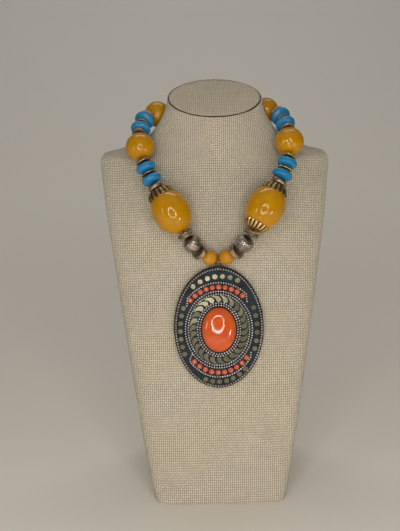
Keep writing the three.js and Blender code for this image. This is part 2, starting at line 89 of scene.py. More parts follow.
camera_data = bpy.data.cameras.new("camera")
camera_data.lens = CAMERA_LENS
camera_data.clip_start = 0.02
camera_data.clip_end = 60
camera = in_scene("camera", camera_data)
camera.matrix_world = facing(
    CAMERA_PLACE, tilt @ view_right, tilt @ view_up, -CAMERA_AIM.normalized()
)
bpy.context.scene.camera = camera
print("camera stands", round(CAMERA_PLACE.length, 3), "m from the bust's foot")

# %% [markdown]
# ## Helpers for materials
#
# Colours are written as the sRGB hex values of a paint chart, and one function turns them to
# the linear values that Blender's shaders add up in. The next one adds a node with its settings
# and links, so a pattern reads from top to bottom like a list. Small ones built on it do sums,
# blend colours, spread two tones, raise a surface and let light sink in.

# %% Colour and node helpers
def colour(hex_value):
    """A linear RGBA colour from an sRGB hex value."""
    shares = [int(hex_value[i : i + 2], 16) / 255 for i in (1, 3, 5)]
    linear = [s / 12.92 if s <= 0.04045 else ((s + 0.055) / 1.055) ** 2.4 for s in shares]
    return (*linear, 1.0)


def add(tree, kind, settings=None, **inputs):
    """Adds a shader node. Inputs named _0, _1 ... are taken by number, the others by name."""
    made = tree.nodes.new("ShaderNode" + kind)
    for key, value in (settings or {}).items():
        setattr(made, key, value)
    for key, value in inputs.items():
        number = key[1:] if key.startswith("_") else None
        socket = made.inputs[int(number) if number else key.replace("_", " ")]
        if isinstance(value, bpy.types.NodeSocket):
            tree.links.new(value, socket)
        else:
            socket.default_value = value
    return made


def calc(tree, operation, *values, clamp=False):
    """The result of a sum. Each value is a number or another node's output."""
    settings = {"operation": operation, "use_clamp": clamp}
    inputs = {f"_{i}": value for i, value in enumerate(values)}
    return add(tree, "Math", settings, **inputs).outputs[0]


def mixed(tree, share, low, high):
    """A colour between two others."""
    made = add(tree, "Mix", {"data_type": "RGBA"}, _0=share, _6=low, _7=high)
    return made.outputs[2]


def cloudy(tree, where, **settings):
    """The value of a soft noise at each place."""
    return add(tree, "TexNoise", Vector=where, **settings).outputs[0]


def object_place(tree):
    """Each point's place on the object, in metres."""
    return add(tree, "TexCoord").outputs["Object"]


def two_tone(tree, shader, value, low, high):
    """Colours the surface as a value rises from one (value, hex colour) stop to another."""
    ramp = add(tree, "ValToRGB", _0=value)
    for stop, (position, hex_value) in zip(ramp.color_ramp.elements, (low, high)):
        stop.position = position
        stop.color = colour(hex_value)
    tree.links.new(ramp.outputs[0], shader.inputs["Base Color"])


def bumped(tree, shader, height, strength, depth):
    """Raises the surface by a pattern, to a depth in metres."""
    bump = add(tree, "Bump", Strength=strength, Distance=depth, Height=height)
    tree.links.new(bump.outputs[0], shader.inputs["Normal"])


def new_material(name, settings):
    """A material with one Principled shader, and its tree and shader for more nodes."""
    material = bpy.data.materials.new(name)
    material.use_nodes = True
    shader = material.node_tree.nodes["Principled BSDF"]
    for key, value in settings.items():
        shader.inputs[key].default_value = value
    return material, material.node_tree, shader


def sink_in(shader, weight, radius, depth):
    """Lets light sink into the surface, to a depth in metres."""
    for key, value in (("Weight", weight), ("Radius", radius), ("Scale", depth)):
        shader.inputs[f"Subsurface {key}"].default_value = value


print("amber in linear light:", [round(v, 3) for v in colour("#c8890f")])

# %% [markdown]
# ## Helpers for pieces
#
# Nearly everything on the strand is turned, so one helper spins a half-outline round the Z
# axis. Another makes the flat oval block that the neck's oval, the tray and the lac start from.
# A piece is drawn in millimetres at the origin, then set in its place in metres. The helper
# that finishes it smooths its faces, keeps the real edges sharp, hangs it on the empty of the
# body that it rides on and hides the solid that it stands for.

# %% Piece helpers
HELD = "bust_and_strand"
SWINGING = "pendant"


def points_of(result):
    """The points among what a mesh operator has made."""
    return [made for made in result["geom"] if isinstance(made, bmesh.types.BMVert)]


def face_out(bm):
    """Turns every face to look outwards."""
    bmesh.ops.recalc_face_normals(bm, faces=bm.faces)


def raised(bm, faces, height):
    """Extrudes flat faces upwards. Returns the new points."""
    points = points_of(bmesh.ops.extrude_face_region(bm, geom=faces))
    bmesh.ops.translate(bm, vec=(0, 0, height), verts=points)
    return points


def inset(bm, face, *widths):
    """Insets a face one width after another. It stays the inner one."""
    for width in widths:
        bmesh.ops.inset_region(bm, faces=[face], thickness=width, depth=0)


def rounded(bm, edges, radius, steps=3):
    """Rounds edges off."""
    bmesh.ops.bevel(
        bm, geom=edges, offset=radius, affect="EDGES", segments=steps, profile=0.5, material=-1
    )


def turned(outline, steps, closed=True):
    """A body spun round Z from (radius, height) points. An open outline ends on the axis."""
    bm = bmesh.new()
    points = [bm.verts.new((radius, 0, height)) for radius, height in outline]
    ends = points[1:] + points[:1] if closed else points[1:]
    edges = [bm.edges.new(pair) for pair in zip(points, ends)]
    bmesh.ops.spin(
        bm, geom=points + edges, axis=(0, 0, 1), angle=TURN, steps=steps, use_merge=True
    )
    bmesh.ops.remove_doubles(bm, verts=bm.verts, dist=1e-5)
    face_out(bm)
    return bm


def oval_block(width, height, low, high, sides=128):
    """A flat oval block."""
    bm = bmesh.new()
    bmesh.ops.create_circle(bm, cap_ends=True, radius=0.5, segments=sides)
    size = Matrix.Diagonal((width, height, 1, 1))
    bmesh.ops.transform(bm, verts=bm.verts, matrix=Matrix.Translation((0, 0, low)) @ size)
    raised(bm, list(bm.faces), high - low)
    face_out(bm)
    return bm


def upper_face(bm):
    """The largest face that looks up."""
    return max(bm.faces, key=lambda f: f.calc_area() if f.normal.z > 0.9 else 0)


def new_object(name, bm, material):
    """A smooth object at the origin from a mesh in metres."""
    for face in bm.faces:
        face.smooth = True
    mesh = bpy.data.meshes.new(name)
    bm.to_mesh(mesh)
    bm.free()
    mesh.materials.append(material)
    return in_scene(name, mesh)


def piece(name, bm, place, material, body, stands_for=(), sharp=38):
    """Finishes a mesh drawn in millimetres as an object of the necklace."""
    bmesh.ops.transform(bm, matrix=place @ Matrix.Scale(MM, 4), verts=bm.verts)
    made = new_object(name, bm, material)
    made.data.set_sharp_from_angle(angle=radians(sharp))
    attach(made, body)
    if stands_for:
        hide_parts(*stands_for)
    return made


def ball_template(around, levels):
    """The points and faces of a ball of radius 1, with its poles on Z."""
    bm = bmesh.new()
    bmesh.ops.create_uvsphere(bm, u_segments=around, v_segments=levels, radius=1)
    bm.verts.index_update()
    points = [vert.co.copy() for vert in bm.verts]
    faces = [[vert.index for vert in face.verts] for face in bm.faces]
    bm.free()
    return points, faces


def add_ball(bm, template, at):
    """Adds a ball that a matrix sizes and places."""
    points, faces = template
    made = [bm.verts.new(at @ point) for point in points]
    for corners in faces:
        bm.faces.new([made[i] for i in corners])


def add_grain(bm, place, radius):
    """Adds a low ball with few faces."""
    add_ball(bm, GRAIN_BALL, Matrix.Translation(place) @ Matrix.Scale(radius, 4))


GRAIN_BALL = ball_template(8, 6)
DOME_BALL = ball_template(18, 10)
print("bodies:", HELD, "and", SWINGING, "- faces in a grain:", len(GRAIN_BALL[1]))

# %% [markdown]
# ## Coarse linen
#
# Shop busts are wrapped in coarse plain-woven linen, whose warp and weft cross over and under
# one another about every millimetre and a half. Each thread is a rounded ridge that rises and
# dips in turn. The pattern follows the piece's own UV map, which is laid out in metres, so the
# threads keep their real pitch and run round the neck as stretched cloth does. Slubs, the thick
# and thin places of the yarn, change from thread to thread.

# %% Linen
THREAD_PITCH = {"X": 1.42 * MM, "Y": 1.78 * MM}  # between warps, and between wefts
WANDER = 0.7 * MM  # how far a thread strays from its line
# How far each thread rises over the one that it crosses, as a share of its thickness.
WARP_RISE, WEFT_RISE = 0.34, 0.55


def linen(name, warp_colour, weft_colour, gap_shade_colour, depth):
    """Plain-woven linen on a UV map in metres."""
    material, tree, shader = new_material(
        name, {"Roughness": 0.88, "Sheen Weight": 0.25, "Sheen Roughness": 0.5, "IOR": 1.5}
    )
    place = add(tree, "UVMap", {"uv_map": "UVMap"}).outputs[0]
    stray = add(tree, "TexNoise", Vector=place, Scale=90.0, Detail=2.0)
    shifted = add(
        tree, "VectorMath", {"operation": "MULTIPLY_ADD"},
        _0=stray.outputs["Color"], _1=(WANDER, WANDER, 0.0), _2=place,
    )
    split = add(tree, "SeparateXYZ", Vector=shifted.outputs[0])
    heights, rows = [], []
    for along, across, phase, full in (("X", "Y", -0.5, WARP_RISE), ("Y", "X", 0.5, WEFT_RISE)):
        # A thread's number, and its rounded ridge.
        number = calc(tree, "DIVIDE", split.outputs[along], THREAD_PITCH[along])
        row = calc(tree, "FLOOR", number)
        middle = calc(tree, "PINGPONG", calc(tree, "FRACT", number), 0.5)
        ridge = calc(tree, "SINE", calc(tree, "MULTIPLY", middle, pi))
        # It rides over one crossing thread and under the next.
        crossing = calc(tree, "DIVIDE", split.outputs[across], THREAD_PITCH[across])
        turn = calc(tree, "ADD", crossing, row)
        angle = calc(tree, "MULTIPLY_ADD", turn, pi, phase * pi)
        heights.append(calc(tree, "MULTIPLY_ADD", calc(tree, "COSINE", angle), full, ridge))
        rows.append(row)
    cloth = calc(tree, "SMOOTH_MAX", *heights, 0.1)
    on_top = calc(tree, "GREATER_THAN", *heights)
    base = mixed(tree, on_top, colour(weft_colour), colour(warp_colour))
    # The low places between the threads are painted darker, as painted shade.
    hollow = add(
        tree, "MapRange", {"clamp": True},
        Value=cloth, From_Min=0.25, From_Max=1.1, To_Min=0.0, To_Max=1.0,
    )
    threads = mixed(tree, hollow.outputs[0], colour(gap_shade_colour), base)
    # Yarn differs from thread to thread, and more slowly along each of them.
    yarn = add(tree, "CombineXYZ", X=rows[0], Y=rows[1])
    slub = add(
        tree, "TexWhiteNoise", {"noise_dimensions": "2D"}, Vector=yarn.outputs[0]
    )
    blotch = cloudy(tree, place, Scale=70.0, Detail=4.0, Roughness=0.6)
    lightness = calc(
        tree, "MULTIPLY_ADD",
        slub.outputs["Value"], 0.16, calc(tree, "MULTIPLY_ADD", blotch, 0.22, 0.81),
    )
    tinted = add(
        tree, "VectorMath", {"operation": "SCALE"}, _0=threads, Scale=lightness
    )
    tree.links.new(tinted.outputs[0], shader.inputs["Base Color"])
    bumped(tree, shader, cloth, 1.0, depth)
    return material


chest_linen = linen("coarse_plain_woven_linen", "#cac2b0", "#bdb5a3", "#544b38", 0.34 * MM)
cap_linen = linen("stretched_linen_on_padding", "#bdb4a1", "#b4ab98", "#857b66", 0.16 * MM)
# The front of the lip's inner wall and the oval's side are painted dark as the seam's shadow.
painted_seam_shadow, _, _ = new_material(
    "linen_painted_with_seam_shadow", {"Base Color": colour("#3f382c"), "Roughness": 0.95}
)
print("threads across the bust:", round(0.164 / THREAD_PITCH["X"]))

# %% [markdown]
# ## The bust
#
# The bust is a tapering block with square shoulders that sweep into a neck cut off at a slant.
# Its shape is a table of levels, as a boat's lines are: each level is a squared oval with its
# own width, depth and lean. A ring of edges is extruded up from level to level, each ring set
# on its own oval. At the neck the cloth stands up as a thin lip and turns down inside, and the
# front of its inner wall is painted dark as the seam's shadow. Lengths measured round and up
# the surface become its UV map, so the cloth isn't stretched anywhere.

# %% The bust's levels
# height, half width, front, back, bulge of the front, squareness, forward lean in degrees
LEVELS = [
    (0, 46.8, -49, 49, 1, 12, 0),
    (30, 52.8, -43.8, 48, 2, 11, 0),
    (85, 61.2, -34, 46, 3.5, 10, 0),
    (140, 69.2, -24.3, 44, 5.5, 9, 0),
    (175, 74.2, -17.7, 43, 8, 8, 0),
    (200, 77.9, -11.5, 42.4, 10.5, 8, 0),
    (220, 80.4, -5, 42.2, 13, 7, 0),
    (233, 81.8, -1.5, 42, 15, 6.5, 2),
    (238.5, 80.2, -0.5, 42, 15, 5, 5),
    (241.5, 70, -0.3, 40.5, 13, 4, 6),
    (245.5, 58.6, -0.2, 38, 9.5, 3.2, 9),
    (252.5, 46.6, -0.4, 34.8, 4.5, 2.5, 14),
    (261, 39.6, -0.6, 33.8, 2, 2.1, 22),
    (269, 35.2, -0.5, 34.2, 0.5, 2, 30),
    (276.4, 33.3, 0, 35.4, 0, 2, 35),
]
OCTANT = 14  # sides from the middle of a face to its corner
SIDES = 8 * OCTANT
RINGS_PER_LEVEL = 7


def level_at(share):
    """The seven values of a level, on a smooth curve through the table's rows."""
    place = share * (len(LEVELS) - 1)
    i = min(int(place), len(LEVELS) - 2)
    t = place - i
    before, low, high, after = (
        LEVELS[max(0, min(len(LEVELS) - 1, k))] for k in (i - 1, i, i + 1, i + 2)
    )
    values = []
    for a, b, c, d in zip(before, low, high, after):
        rise, fall = (c - a) / 2, (d - b) / 2
        cubic, square = 2 * b - 2 * c + rise + fall, 3 * c - 3 * b - 2 * rise - fall
        values.append(((cubic * t + square) * t + rise) * t + b)
    return values


def bust_point(side, share):
    """A point of the bust: `side` counts round it from the middle of the front."""
    height, half, front, back, bulge, square, lean = level_at(share)
    octant, step = divmod(side, OCTANT)
    step = step / OCTANT
    along = 0.5 ** (1 / square) * sin(pi / 2 * (1 - step if octant % 2 else step))
    out = (1 - along**square) ** (1 / square)
    on_side = octant in (1, 2, 5, 6)
    across = (1 if octant < 4 else -1) * (out if on_side else along)
    behind = (1 if 1 < octant < 6 else -1) * (along if on_side else out)
    crown = bulge * (1 - across * across) if behind < 0 else 0
    depth = (back - front - bulge) / 2 * behind - crown
    middle = (back + front + bulge) / 2
    return Vector((half * across, middle + depth, height + depth * tan(radians(lean))))


print("neck cut:", [round(v, 1) for v in bust_point(0, 1)], "mm")

# %% The bust's cover
LIP = 2.5  # mm, how far the lip stands up
# Rise over the cut, and size as a share of it: the lip's outer edge, its inner edge, its foot.
LIP_ROWS = [(LIP, 1.0), (LIP, 0.98), (0.1, 0.975)]
LIP_ROUND, FOOT_ROUND = 0.3, 1.2
top_height, _, top_front, top_back, _, _, top_degrees = LEVELS[-1]
top_lean = radians(top_degrees)
upright = Vector((0, -sin(top_lean), cos(top_lean)))
seat = Vector((0, (top_front + top_back) / 2, top_height))


def lip_point(side, rise, share):
    """A point over the cut, `share` of the way from its middle out to its edge."""
    return seat + (bust_point(side, 1) - seat) * share + upright * rise


def grow_ring(bm, edges, place_of, *values):
    """Extrudes a ring of edges. Returns the new edges, and the new points in their order."""
    side_of = bm.verts.layers.int["side"]
    grown = bmesh.ops.extrude_edge_only(bm, edges=edges)
    row = sorted(points_of(grown), key=lambda v: v[side_of])
    for vert in row:
        vert.co = place_of(vert[side_of], *values)
    return [made for made in grown["geom"] if isinstance(made, bmesh.types.BMEdge)], row


bm = bmesh.new()
side_of = bm.verts.layers.int.new("side")
start = bmesh.ops.create_circle(bm, cap_ends=False, radius=1, segments=SIDES)["verts"]
for number, vert in enumerate(start):
    vert[side_of] = number
    vert.co = bust_point(number, 0)
rows = [start]
edges = list(bm.edges)
rings = (len(LEVELS) - 1) * RINGS_PER_LEVEL
for ring in range(1, rings + 1):
    edges, row = grow_ring(bm, edges, bust_point, ring / rings)
    rows.append(row)
for rise, share in LIP_ROWS:
    edges, row = grow_ring(bm, edges, lip_point, rise, share)
    rows.append(row)

# Lengths round each ring from the front's middle, and up each column, become the UV map.
uv = bm.loops.layers.uv.new("UVMap")
around = {}
upward = {vert: 0.0 for vert in rows[0]}
for row in rows:
    right = left = 0.0
    around[row[0]] = 0.0
    for k in range(1, SIDES // 2 + 1):
        right += (row[k].co - row[k - 1].co).length
        left += (row[-k].co - row[(1 - k) % SIDES].co).length
        around[row[k]] = right
        if k < SIDES // 2:
            around[row[-k]] = -left
for below, above in zip(rows, rows[1:]):
    for low, high in zip(below, above):
        upward[high] = upward[low] + (high.co - low.co).length
for face in bm.faces:
    left_half = any(vert[side_of] > SIDES // 2 for vert in face.verts)
    for loop in face.loops:
        u = around[loop.vert]
        if left_half and loop.vert[side_of] == SIDES // 2:
            u = -u
        loop[uv].uv = (u * MM, upward[loop.vert] * MM)
cloth_height = upward[rows[-1][0]]

# The block is closed below and under the oval, and its edges at the foot and lip are rounded.
foot = bmesh.ops.contextual_create(bm, geom=rows[0])["faces"]
bmesh.ops.contextual_create(bm, geom=rows[-1])
face_out(bm)
rounded(bm, list(foot[0].edges), FOOT_ROUND)
rounded(
    bm,
    [e for e in bm.edges if any(all(v in row for v in e.verts) for row in rows[-3:-1])],
    LIP_ROUND,
)


def inside_lip(face):
    """Whether a face is on the lip's inner wall, round the front half, where the seam's shadow is
    painted.
    """
    centre = face.calc_center_median() - seat
    if centre.y >= 2 or not 0.2 < centre.dot(upright) < LIP - 0.4:
        return False
    for vert in face.verts:
        out = vert.co - seat
        out -= upright * out.dot(upright)
        if out.length >= 0.985 * (bust_point(vert[side_of], 1) - seat).length:
            return False
    return True


# Those faces take the second material, the painted seam shadow.
for face in bm.faces:
    face.material_index = int(inside_lip(face))
bust_faces = len(bm.faces)
bust_cover = piece(
    "linen_bust", bm, Matrix(), chest_linen, HELD, ["bust_form"], sharp=60
)
bust_cover.data.materials.append(painted_seam_shadow)
print("bust:", bust_faces, "faces,", "UV height", round(cloth_height, 1), "mm")

# %% [markdown]
# ## The oval on the neck
#
# The slanted cut across the neck is closed by a flat padded oval, covered on its own and
# pushed home inside the lip, a little to the back, so that a dark seam shows round its front.
# Its side below the rounded edge is painted dark as the seam's shadow.
# An oval block is rounded along its edges, and its upper face is inset in rings that are
# raised a little towards the middle, as padding does.

# %% The oval
CAP_HALF, CAP_DEPTH, CAP_THICK = 31.8, 20.3, 2.3
CAP_ROUND, PAD_RISE, PAD_RINGS, PAD_STEP = 0.6, 0.7, 5, 2.6
CAP_RISE = CAP_THICK + 0.2
PUSHED_BACK = 0.45  # mm, so the seam is widest in front
WEAVE_SHIFT = 0.4  # mm, the threads of the oval don't line up with the chest's

bm = oval_block(2 * CAP_HALF, 2 * CAP_DEPTH, -CAP_THICK, 0, sides=120)
rounded(bm, [e for e in bm.edges if abs(e.verts[0].co.z - e.verts[1].co.z) < 1e-6], CAP_ROUND)
top = upper_face(bm)
inset(bm, top, *[PAD_STEP] * PAD_RINGS)
for vert in bm.verts:
    if vert.co.z > -0.01:
        share = hypot(vert.co.x / CAP_HALF, vert.co.y / CAP_DEPTH)
        vert.co.z += PAD_RISE * max(0.0, 1 - share**2)
uv = bm.loops.layers.uv.new("UVMap")
# The oval's side below its rounded edge takes the painted seam shadow.
for face in bm.faces:
    face.material_index = int(face.calc_center_median().z < -CAP_ROUND / 2)
    for loop in face.loops:
        point = loop.vert.co
        loop[uv].uv = ((point.x + WEAVE_SHIFT) * MM, (point.y - point.z) * MM)
back = Vector((0, cos(top_lean), sin(top_lean))) * PUSHED_BACK
place = Matrix.Translation((seat + CAP_RISE * upright + back) * MM)
place @= Matrix.Rotation(top_lean, 4, "X")
neck_oval = piece("linen_neck_oval", bm, place, cap_linen, HELD, ["neck_cap"], sharp=50)
neck_oval.data.materials.append(painted_seam_shadow)
print("oval seat:", [round(v, 1) for v in seat], "mm")

# %% [markdown]
# ## Where each bead sits
#
# Every bead's middle and bore direction are read from its solid. A long bead's longest edges
# run along its bore, and a flat one is thinnest along it. The direction is then turned to
# point up the strand, from the medallion to the nape.

# %% Bead places
STRAND = [
    "small_amber", "rondelle_1", "silver_bead", "rondelle_2", "large_amber", "collar",
    "blue_1", "thin_spacer_1", "blue_2", "spacer_1", "round_amber", "spacer_2",
    "blue_3", "thin_spacer_2", "blue_4", "spacer_3", "back_amber",
]
LONG_KINDS = ("amber", "silver", "blue")
SIDE_NAMES = ("left", "right")
NAPE = Vector((0, 0.0368, 0.2674))
TO_FRONT = Vector((0, -1, 0))


def solid_points(node):
    """The points of a solid's mesh, as rows of an array."""
    return np.array([vert.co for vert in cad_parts[node].data.vertices])


def bore_axis(node):
    """The direction of a bead's bore, either way along it."""
    points = solid_points(node)
    if any(kind in node for kind in LONG_KINDS):
        ends = np.array([edge.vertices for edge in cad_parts[node].data.edges])
        ways = points[ends[:, 1]] - points[ends[:, 0]]
        lengths = np.linalg.norm(ways, axis=1)
        ways = ways[lengths > 0.97 * lengths.max()]
        ways *= np.sign(ways @ ways[0])[:, None]
        axis = ways.sum(axis=0)
    else:
        axis = np.linalg.eigh(np.cov((points - points.mean(axis=0)).T))[1][:, 0]
    return Vector(axis).normalized()


def bead_place(node, onwards):
    """A matrix whose Z runs up the strand from the bead's middle, and its half length."""
    points = solid_points(node)
    centre = Vector(points.mean(axis=0))
    axis = bore_axis(node)
    if axis.dot(onwards - centre) < 0:
        axis.negate()
    reach = (points - np.array(centre)) @ np.array(axis)
    centre += axis * float(reach.max() + reach.min()) / 2
    front = (TO_FRONT - axis * axis.dot(TO_FRONT)).normalized()
    matrix = facing(centre, front, axis.cross(front), axis)
    return matrix, float(reach.max() - reach.min()) / 2 / MM


def strand_piece(node, kind, bm, material, turn=0.0):
    """Finishes a bead of the strand, drawn with its bore along Z."""
    place = places[node][0] @ Matrix.Rotation(turn, 4, "Z")
    piece(f"{node}_{kind}", bm, place, material, HELD, [node])


places = {}
for side in SIDE_NAMES:
    nodes = [f"{side}_{bead}" for bead in STRAND]
    middles = [Vector(solid_points(node).mean(axis=0)) for node in nodes] + [NAPE]
    for node, onwards in zip(nodes, middles[1:]):
        places[node] = bead_place(node, onwards)
print("beads placed:", len(places), "large amber half length",
      round(places["left_large_amber"][1], 1), "mm")

# %% [markdown]
# ## Amber-coloured resin
#
# The big beads are cast in an amber-coloured resin, tumbled and polished. Light sinks a few
# millimetres into it and comes out again more orange, which is why the beads glow at their
# edges, and their colour is a little cloudy where the resin was poured in swirls.

# %% Amber resin
SINK = 3.2 * MM  # how far light gets into the resin


def amber_resin(name, clear_colour, cloudy_colour):
    """Polished resin, cloudy in swirls."""
    material, tree, shader = new_material(
        name, {"Roughness": 0.07, "IOR": 1.5, "Specular IOR Level": 0.42}
    )
    sink_in(shader, 0.45, (1.0, 0.42, 0.06), SINK)
    where = object_place(tree)
    swirl = cloudy(tree, where, Scale=75.0, Detail=4.0, Roughness=0.55, Distortion=1.4)
    two_tone(tree, shader, swirl, (0.34, clear_colour), (0.68, cloudy_colour))
    bumped(tree, shader, cloudy(tree, where, Scale=160.0, Detail=1.0), 0.1, 0.02 * MM)
    return material


amber = amber_resin("polished_amber_resin", "#b07f00", "#ba8504")
small_amber = amber_resin("polished_small_amber_resin", "#b67e08", "#be8618")
print("light sinks", round(SINK / MM, 1), "mm into the amber")

# %% [markdown]
# ## Rounded beads
#
# A rounded bead is a swelling outline spun round its bore. A squareness of 2 gives a ball, and
# more gives the fuller barrel of the big beads. The mouth of the bore is eased, because resin
# and glass chip there otherwise.

# %% Amber beads
BORE = 0.9  # mm, the radius of the drilled hole
EASE_OUT, EASE_IN = 0.35, 0.45  # mm, how wide and how deep its mouth is eased


def rounded_outline(radius, half, square, steps=26):
    """A closed outline from one bore mouth over the bead's waist to the other."""
    mouth = BORE + EASE_OUT
    reach = acos((mouth / radius) ** (square / 2))
    outline = [(BORE, -half + EASE_IN)]
    for i in range(steps + 1):
        angle = reach * (2 * i / steps - 1)
        share = (abs(sin(angle)) / sin(reach)) ** (2 / square)
        outline.append(
            (radius * cos(angle) ** (2 / square), copysign(share, angle) * half)
        )
    outline.append((BORE, half - EASE_IN))
    return outline


# solid, diameter, squareness, steps round it, resin
AMBERS = [
    ("large_amber", 25.6, 2.1, 72, amber),
    ("round_amber", 20.0, 2.0, 64, amber),
    ("back_amber", 18.6, 2.0, 64, amber),
    ("small_amber", 10.2, 2.0, 48, small_amber),
]
for side in SIDE_NAMES:
    for kind, diameter, square, steps, resin in AMBERS:
        node = f"{side}_{kind}"
        bm = turned(rounded_outline(diameter / 2, places[node][1], square), steps)
        strand_piece(node, "bead", bm, resin)
print("amber beads:", 2 * len(AMBERS))

# %% [markdown]
# ## Blue glass rondelles
#
# The blue beads are fat rings of opaque turquoise-blue glass. Each was wound as a hot thread
# round a rod and then fire-polished, so faint lighter and darker streaks run round it.

# %% Blue glass
BLUE_RADIUS, BLUE_SQUARE = 7.0, 2.3
BLUE_TURN = 1.9  # radians from one bead to the next, so that their streaks differ


def wound_glass(name, dark_colour, light_colour):
    """Opaque glass with streaks round the bore."""
    material, tree, shader = new_material(name, {"Roughness": 0.09, "IOR": 1.5})
    sink_in(shader, 0.12, (0.2, 0.6, 1.0), 1.0 * MM)
    ring = add(tree, "UVMap", {"uv_map": "UVMap"}).outputs[0]
    stretched = add(tree, "Mapping", Vector=ring, Scale=(1.5, 26.0, 1.0)).outputs[0]
    streak = cloudy(tree, stretched, Scale=1.0, Detail=5.0, Roughness=0.65)
    two_tone(tree, shader, streak, (0.36, dark_colour), (0.66, light_colour))
    bumped(tree, shader, streak, 0.25, 0.05 * MM)
    return material


def ring_uv(bm, half):
    """A UV map that runs once round the bore, and from one end of the bead to the other."""
    uv = bm.loops.layers.uv.new("UVMap")
    for face in bm.faces:
        turns = [atan2(v.co.y, v.co.x) / TURN for v in face.verts]
        wraps = max(turns) - min(turns) > 0.5
        for loop, around in zip(face.loops, turns):
            if wraps and around < 0:
                around += 1
            loop[uv].uv = (around, loop.vert.co.z / (2 * half) + 0.5)


blue_glass = wound_glass("wound_blue_glass", "#0f5f92", "#268ec0")
for side in SIDE_NAMES:
    for number in range(1, 5):
        node = f"{side}_blue_{number}"
        half = places[node][1]
        bm = turned(rounded_outline(BLUE_RADIUS, half, BLUE_SQUARE), 56)
        ring_uv(bm, half)
        strand_piece(node, "bead", bm, blue_glass, number * BLUE_TURN)
print("blue beads: 8, each", 2 * BLUE_RADIUS, "mm across")

# %% [markdown]
# ## Old metal
#
# The metal beads are cast or stamped, plated, and then darkened, so that the hollows stay
# brown-black while the high places are rubbed bright. One function makes all of these metals.
# A noise sets where the patina lies, and it stays thickest in the creases. A piece may also
# carry an attribute called hollow, from 0 on its ridges to 1 in its grooves, which are made
# darker: partly patina that is never rubbed off there, partly painted shade in the grooves.

# %% Metals
CREASE = 3.2  # how strongly creases keep their patina
# The grooves' extra darkness is partly patina and partly painted shade.
HOLLOW = 0.6  # how much more of it the grooves keep


def rubbed_metal(name, bright_colour, dark_colour, roughness, worn, grain=0.05):
    """A plated metal with dark patina. `worn` is how much of the patina is rubbed away."""
    material, tree, shader = new_material(name, {"Metallic": 1.0})
    patina = cloudy(tree, object_place(tree), Scale=420.0, Detail=6.0, Roughness=0.7)
    # Hollows keep their patina and edges lose it. A flat place has a pointiness of a half.
    point = add(tree, "NewGeometry").outputs["Pointiness"]
    cover = calc(tree, "MULTIPLY_ADD", point, CREASE, -CREASE / 2 + worn - 0.5)
    # Grooves marked by the hollow attribute are painted darker: patina, and painted shade.
    hollow = add(tree, "Attribute", {"attribute_name": "hollow"}).outputs["Fac"]
    kept = calc(tree, "MULTIPLY_ADD", hollow, -HOLLOW, cover)
    shown = calc(tree, "ADD", kept, patina, clamp=True)
    two_tone(tree, shader, shown, (0.3, dark_colour), (0.62, bright_colour))
    rough = add(
        tree, "MapRange",
        Value=shown, From_Min=0.2, From_Max=0.8,
        To_Min=min(1.0, roughness + 0.25), To_Max=roughness,
    )
    tree.links.new(rough.outputs[0], shader.inputs["Roughness"])
    bumped(tree, shader, patina, 0.5, grain * MM)
    return material


pewter = rubbed_metal("darkened_pewter", "#b29d84", "#40362d", 0.27, 0.5)
old_silver = rubbed_metal("rubbed_silver_plate", "#a8a096", "#443d35", 0.23, 0.56, grain=0.03)
antique_brass = rubbed_metal("antique_brass", "#bfa676", "#57472f", 0.34, 0.5)
champagne = rubbed_metal("dull_champagne_plate", "#a58f7c", "#5b4b40", 0.34, 0.55)
bright_brass = rubbed_metal("bright_brass_plate", "#c6a768", "#4f3f22", 0.27, 0.6)
gold_plate = rubbed_metal("bright_gold_plate", "#ecc888", "#4c3818", 0.22, 0.65)
print("plated metals:", [m.name for m in bpy.data.materials if "plate" in m.name])

# %% [markdown]
# ## Rondelles and spacers
#
# Between the beads sit flat metal rings. The plain ones are rolled discs with a soft raised
# waist and a small step round the bore, and the rondelles beside the silver beads have three
# ridges. Two on the right side carry a row of grains round their edge, each a little ball of
# the same metal. A grain is a low ball with few faces, because there are many of them.

# %% Rondelles and spacers
HUB = 0.46  # the step round the bore, as a share of the ring's radius
GROOVE = 0.42  # mm, how deep the rondelles' grooves are


def disc_outline(radius, half, waist, ridged):
    """A flat ring with rounded edges, whose waist stands out by `waist`, or in three ridges."""
    hub = radius * HUB
    edge = radius - waist
    low = [
        (BORE, -half), (hub - 0.3, -half), (hub, -half + 0.25), (hub + 0.4, -half + 0.32),
        (edge - 0.7, -half + 0.2), (edge - 0.15, -half + 0.28),
    ]
    points = list(low)
    steps = 24 if ridged else 8
    for i in range(1, steps):
        angle = pi * (i / steps - 0.5)
        height = (half - 0.3) * sin(angle)
        groove = GROOVE * sin(pi * 1.5 * height / half) ** 2 if ridged else 0
        points.append((edge + (waist - groove) * cos(angle) ** 0.7, height))
    return points + [(r, -h) for r, h in reversed(low)]


def add_grains(bm, count, ring_radius, height, radius):
    """A row of small balls round Z."""
    for i in range(count):
        angle = TURN * i / count
        add_grain(bm, (ring_radius * cos(angle), ring_radius * sin(angle), height), radius)


# solid, radius, waist, metal on the left, metal and grains on the right, the record's slot
RINGS = [
    ("rondelle_1", 5.9, 1.5, pewter, pewter, 0, "old_silver"),
    ("rondelle_2", 5.9, 1.5, pewter, pewter, 0, "old_silver"),
    ("collar", 5.5, 1.3, champagne, pewter, 0, "antique_brass"),
    ("thin_spacer_1", 5.3, 0.9, champagne, bright_brass, 16, "antique_brass"),
    ("thin_spacer_2", 5.3, 0.9, champagne, champagne, 0, "antique_brass"),
    ("spacer_1", 5.2, 0.9, champagne, bright_brass, 18, "antique_brass"),
    ("spacer_2", 5.2, 0.9, champagne, champagne, 0, "antique_brass"),
    ("spacer_3", 5.2, 0.9, champagne, champagne, 0, "antique_brass"),
]
GRAIN_PROUD = 0.45  # mm, how far the grains stand out of a grained ring

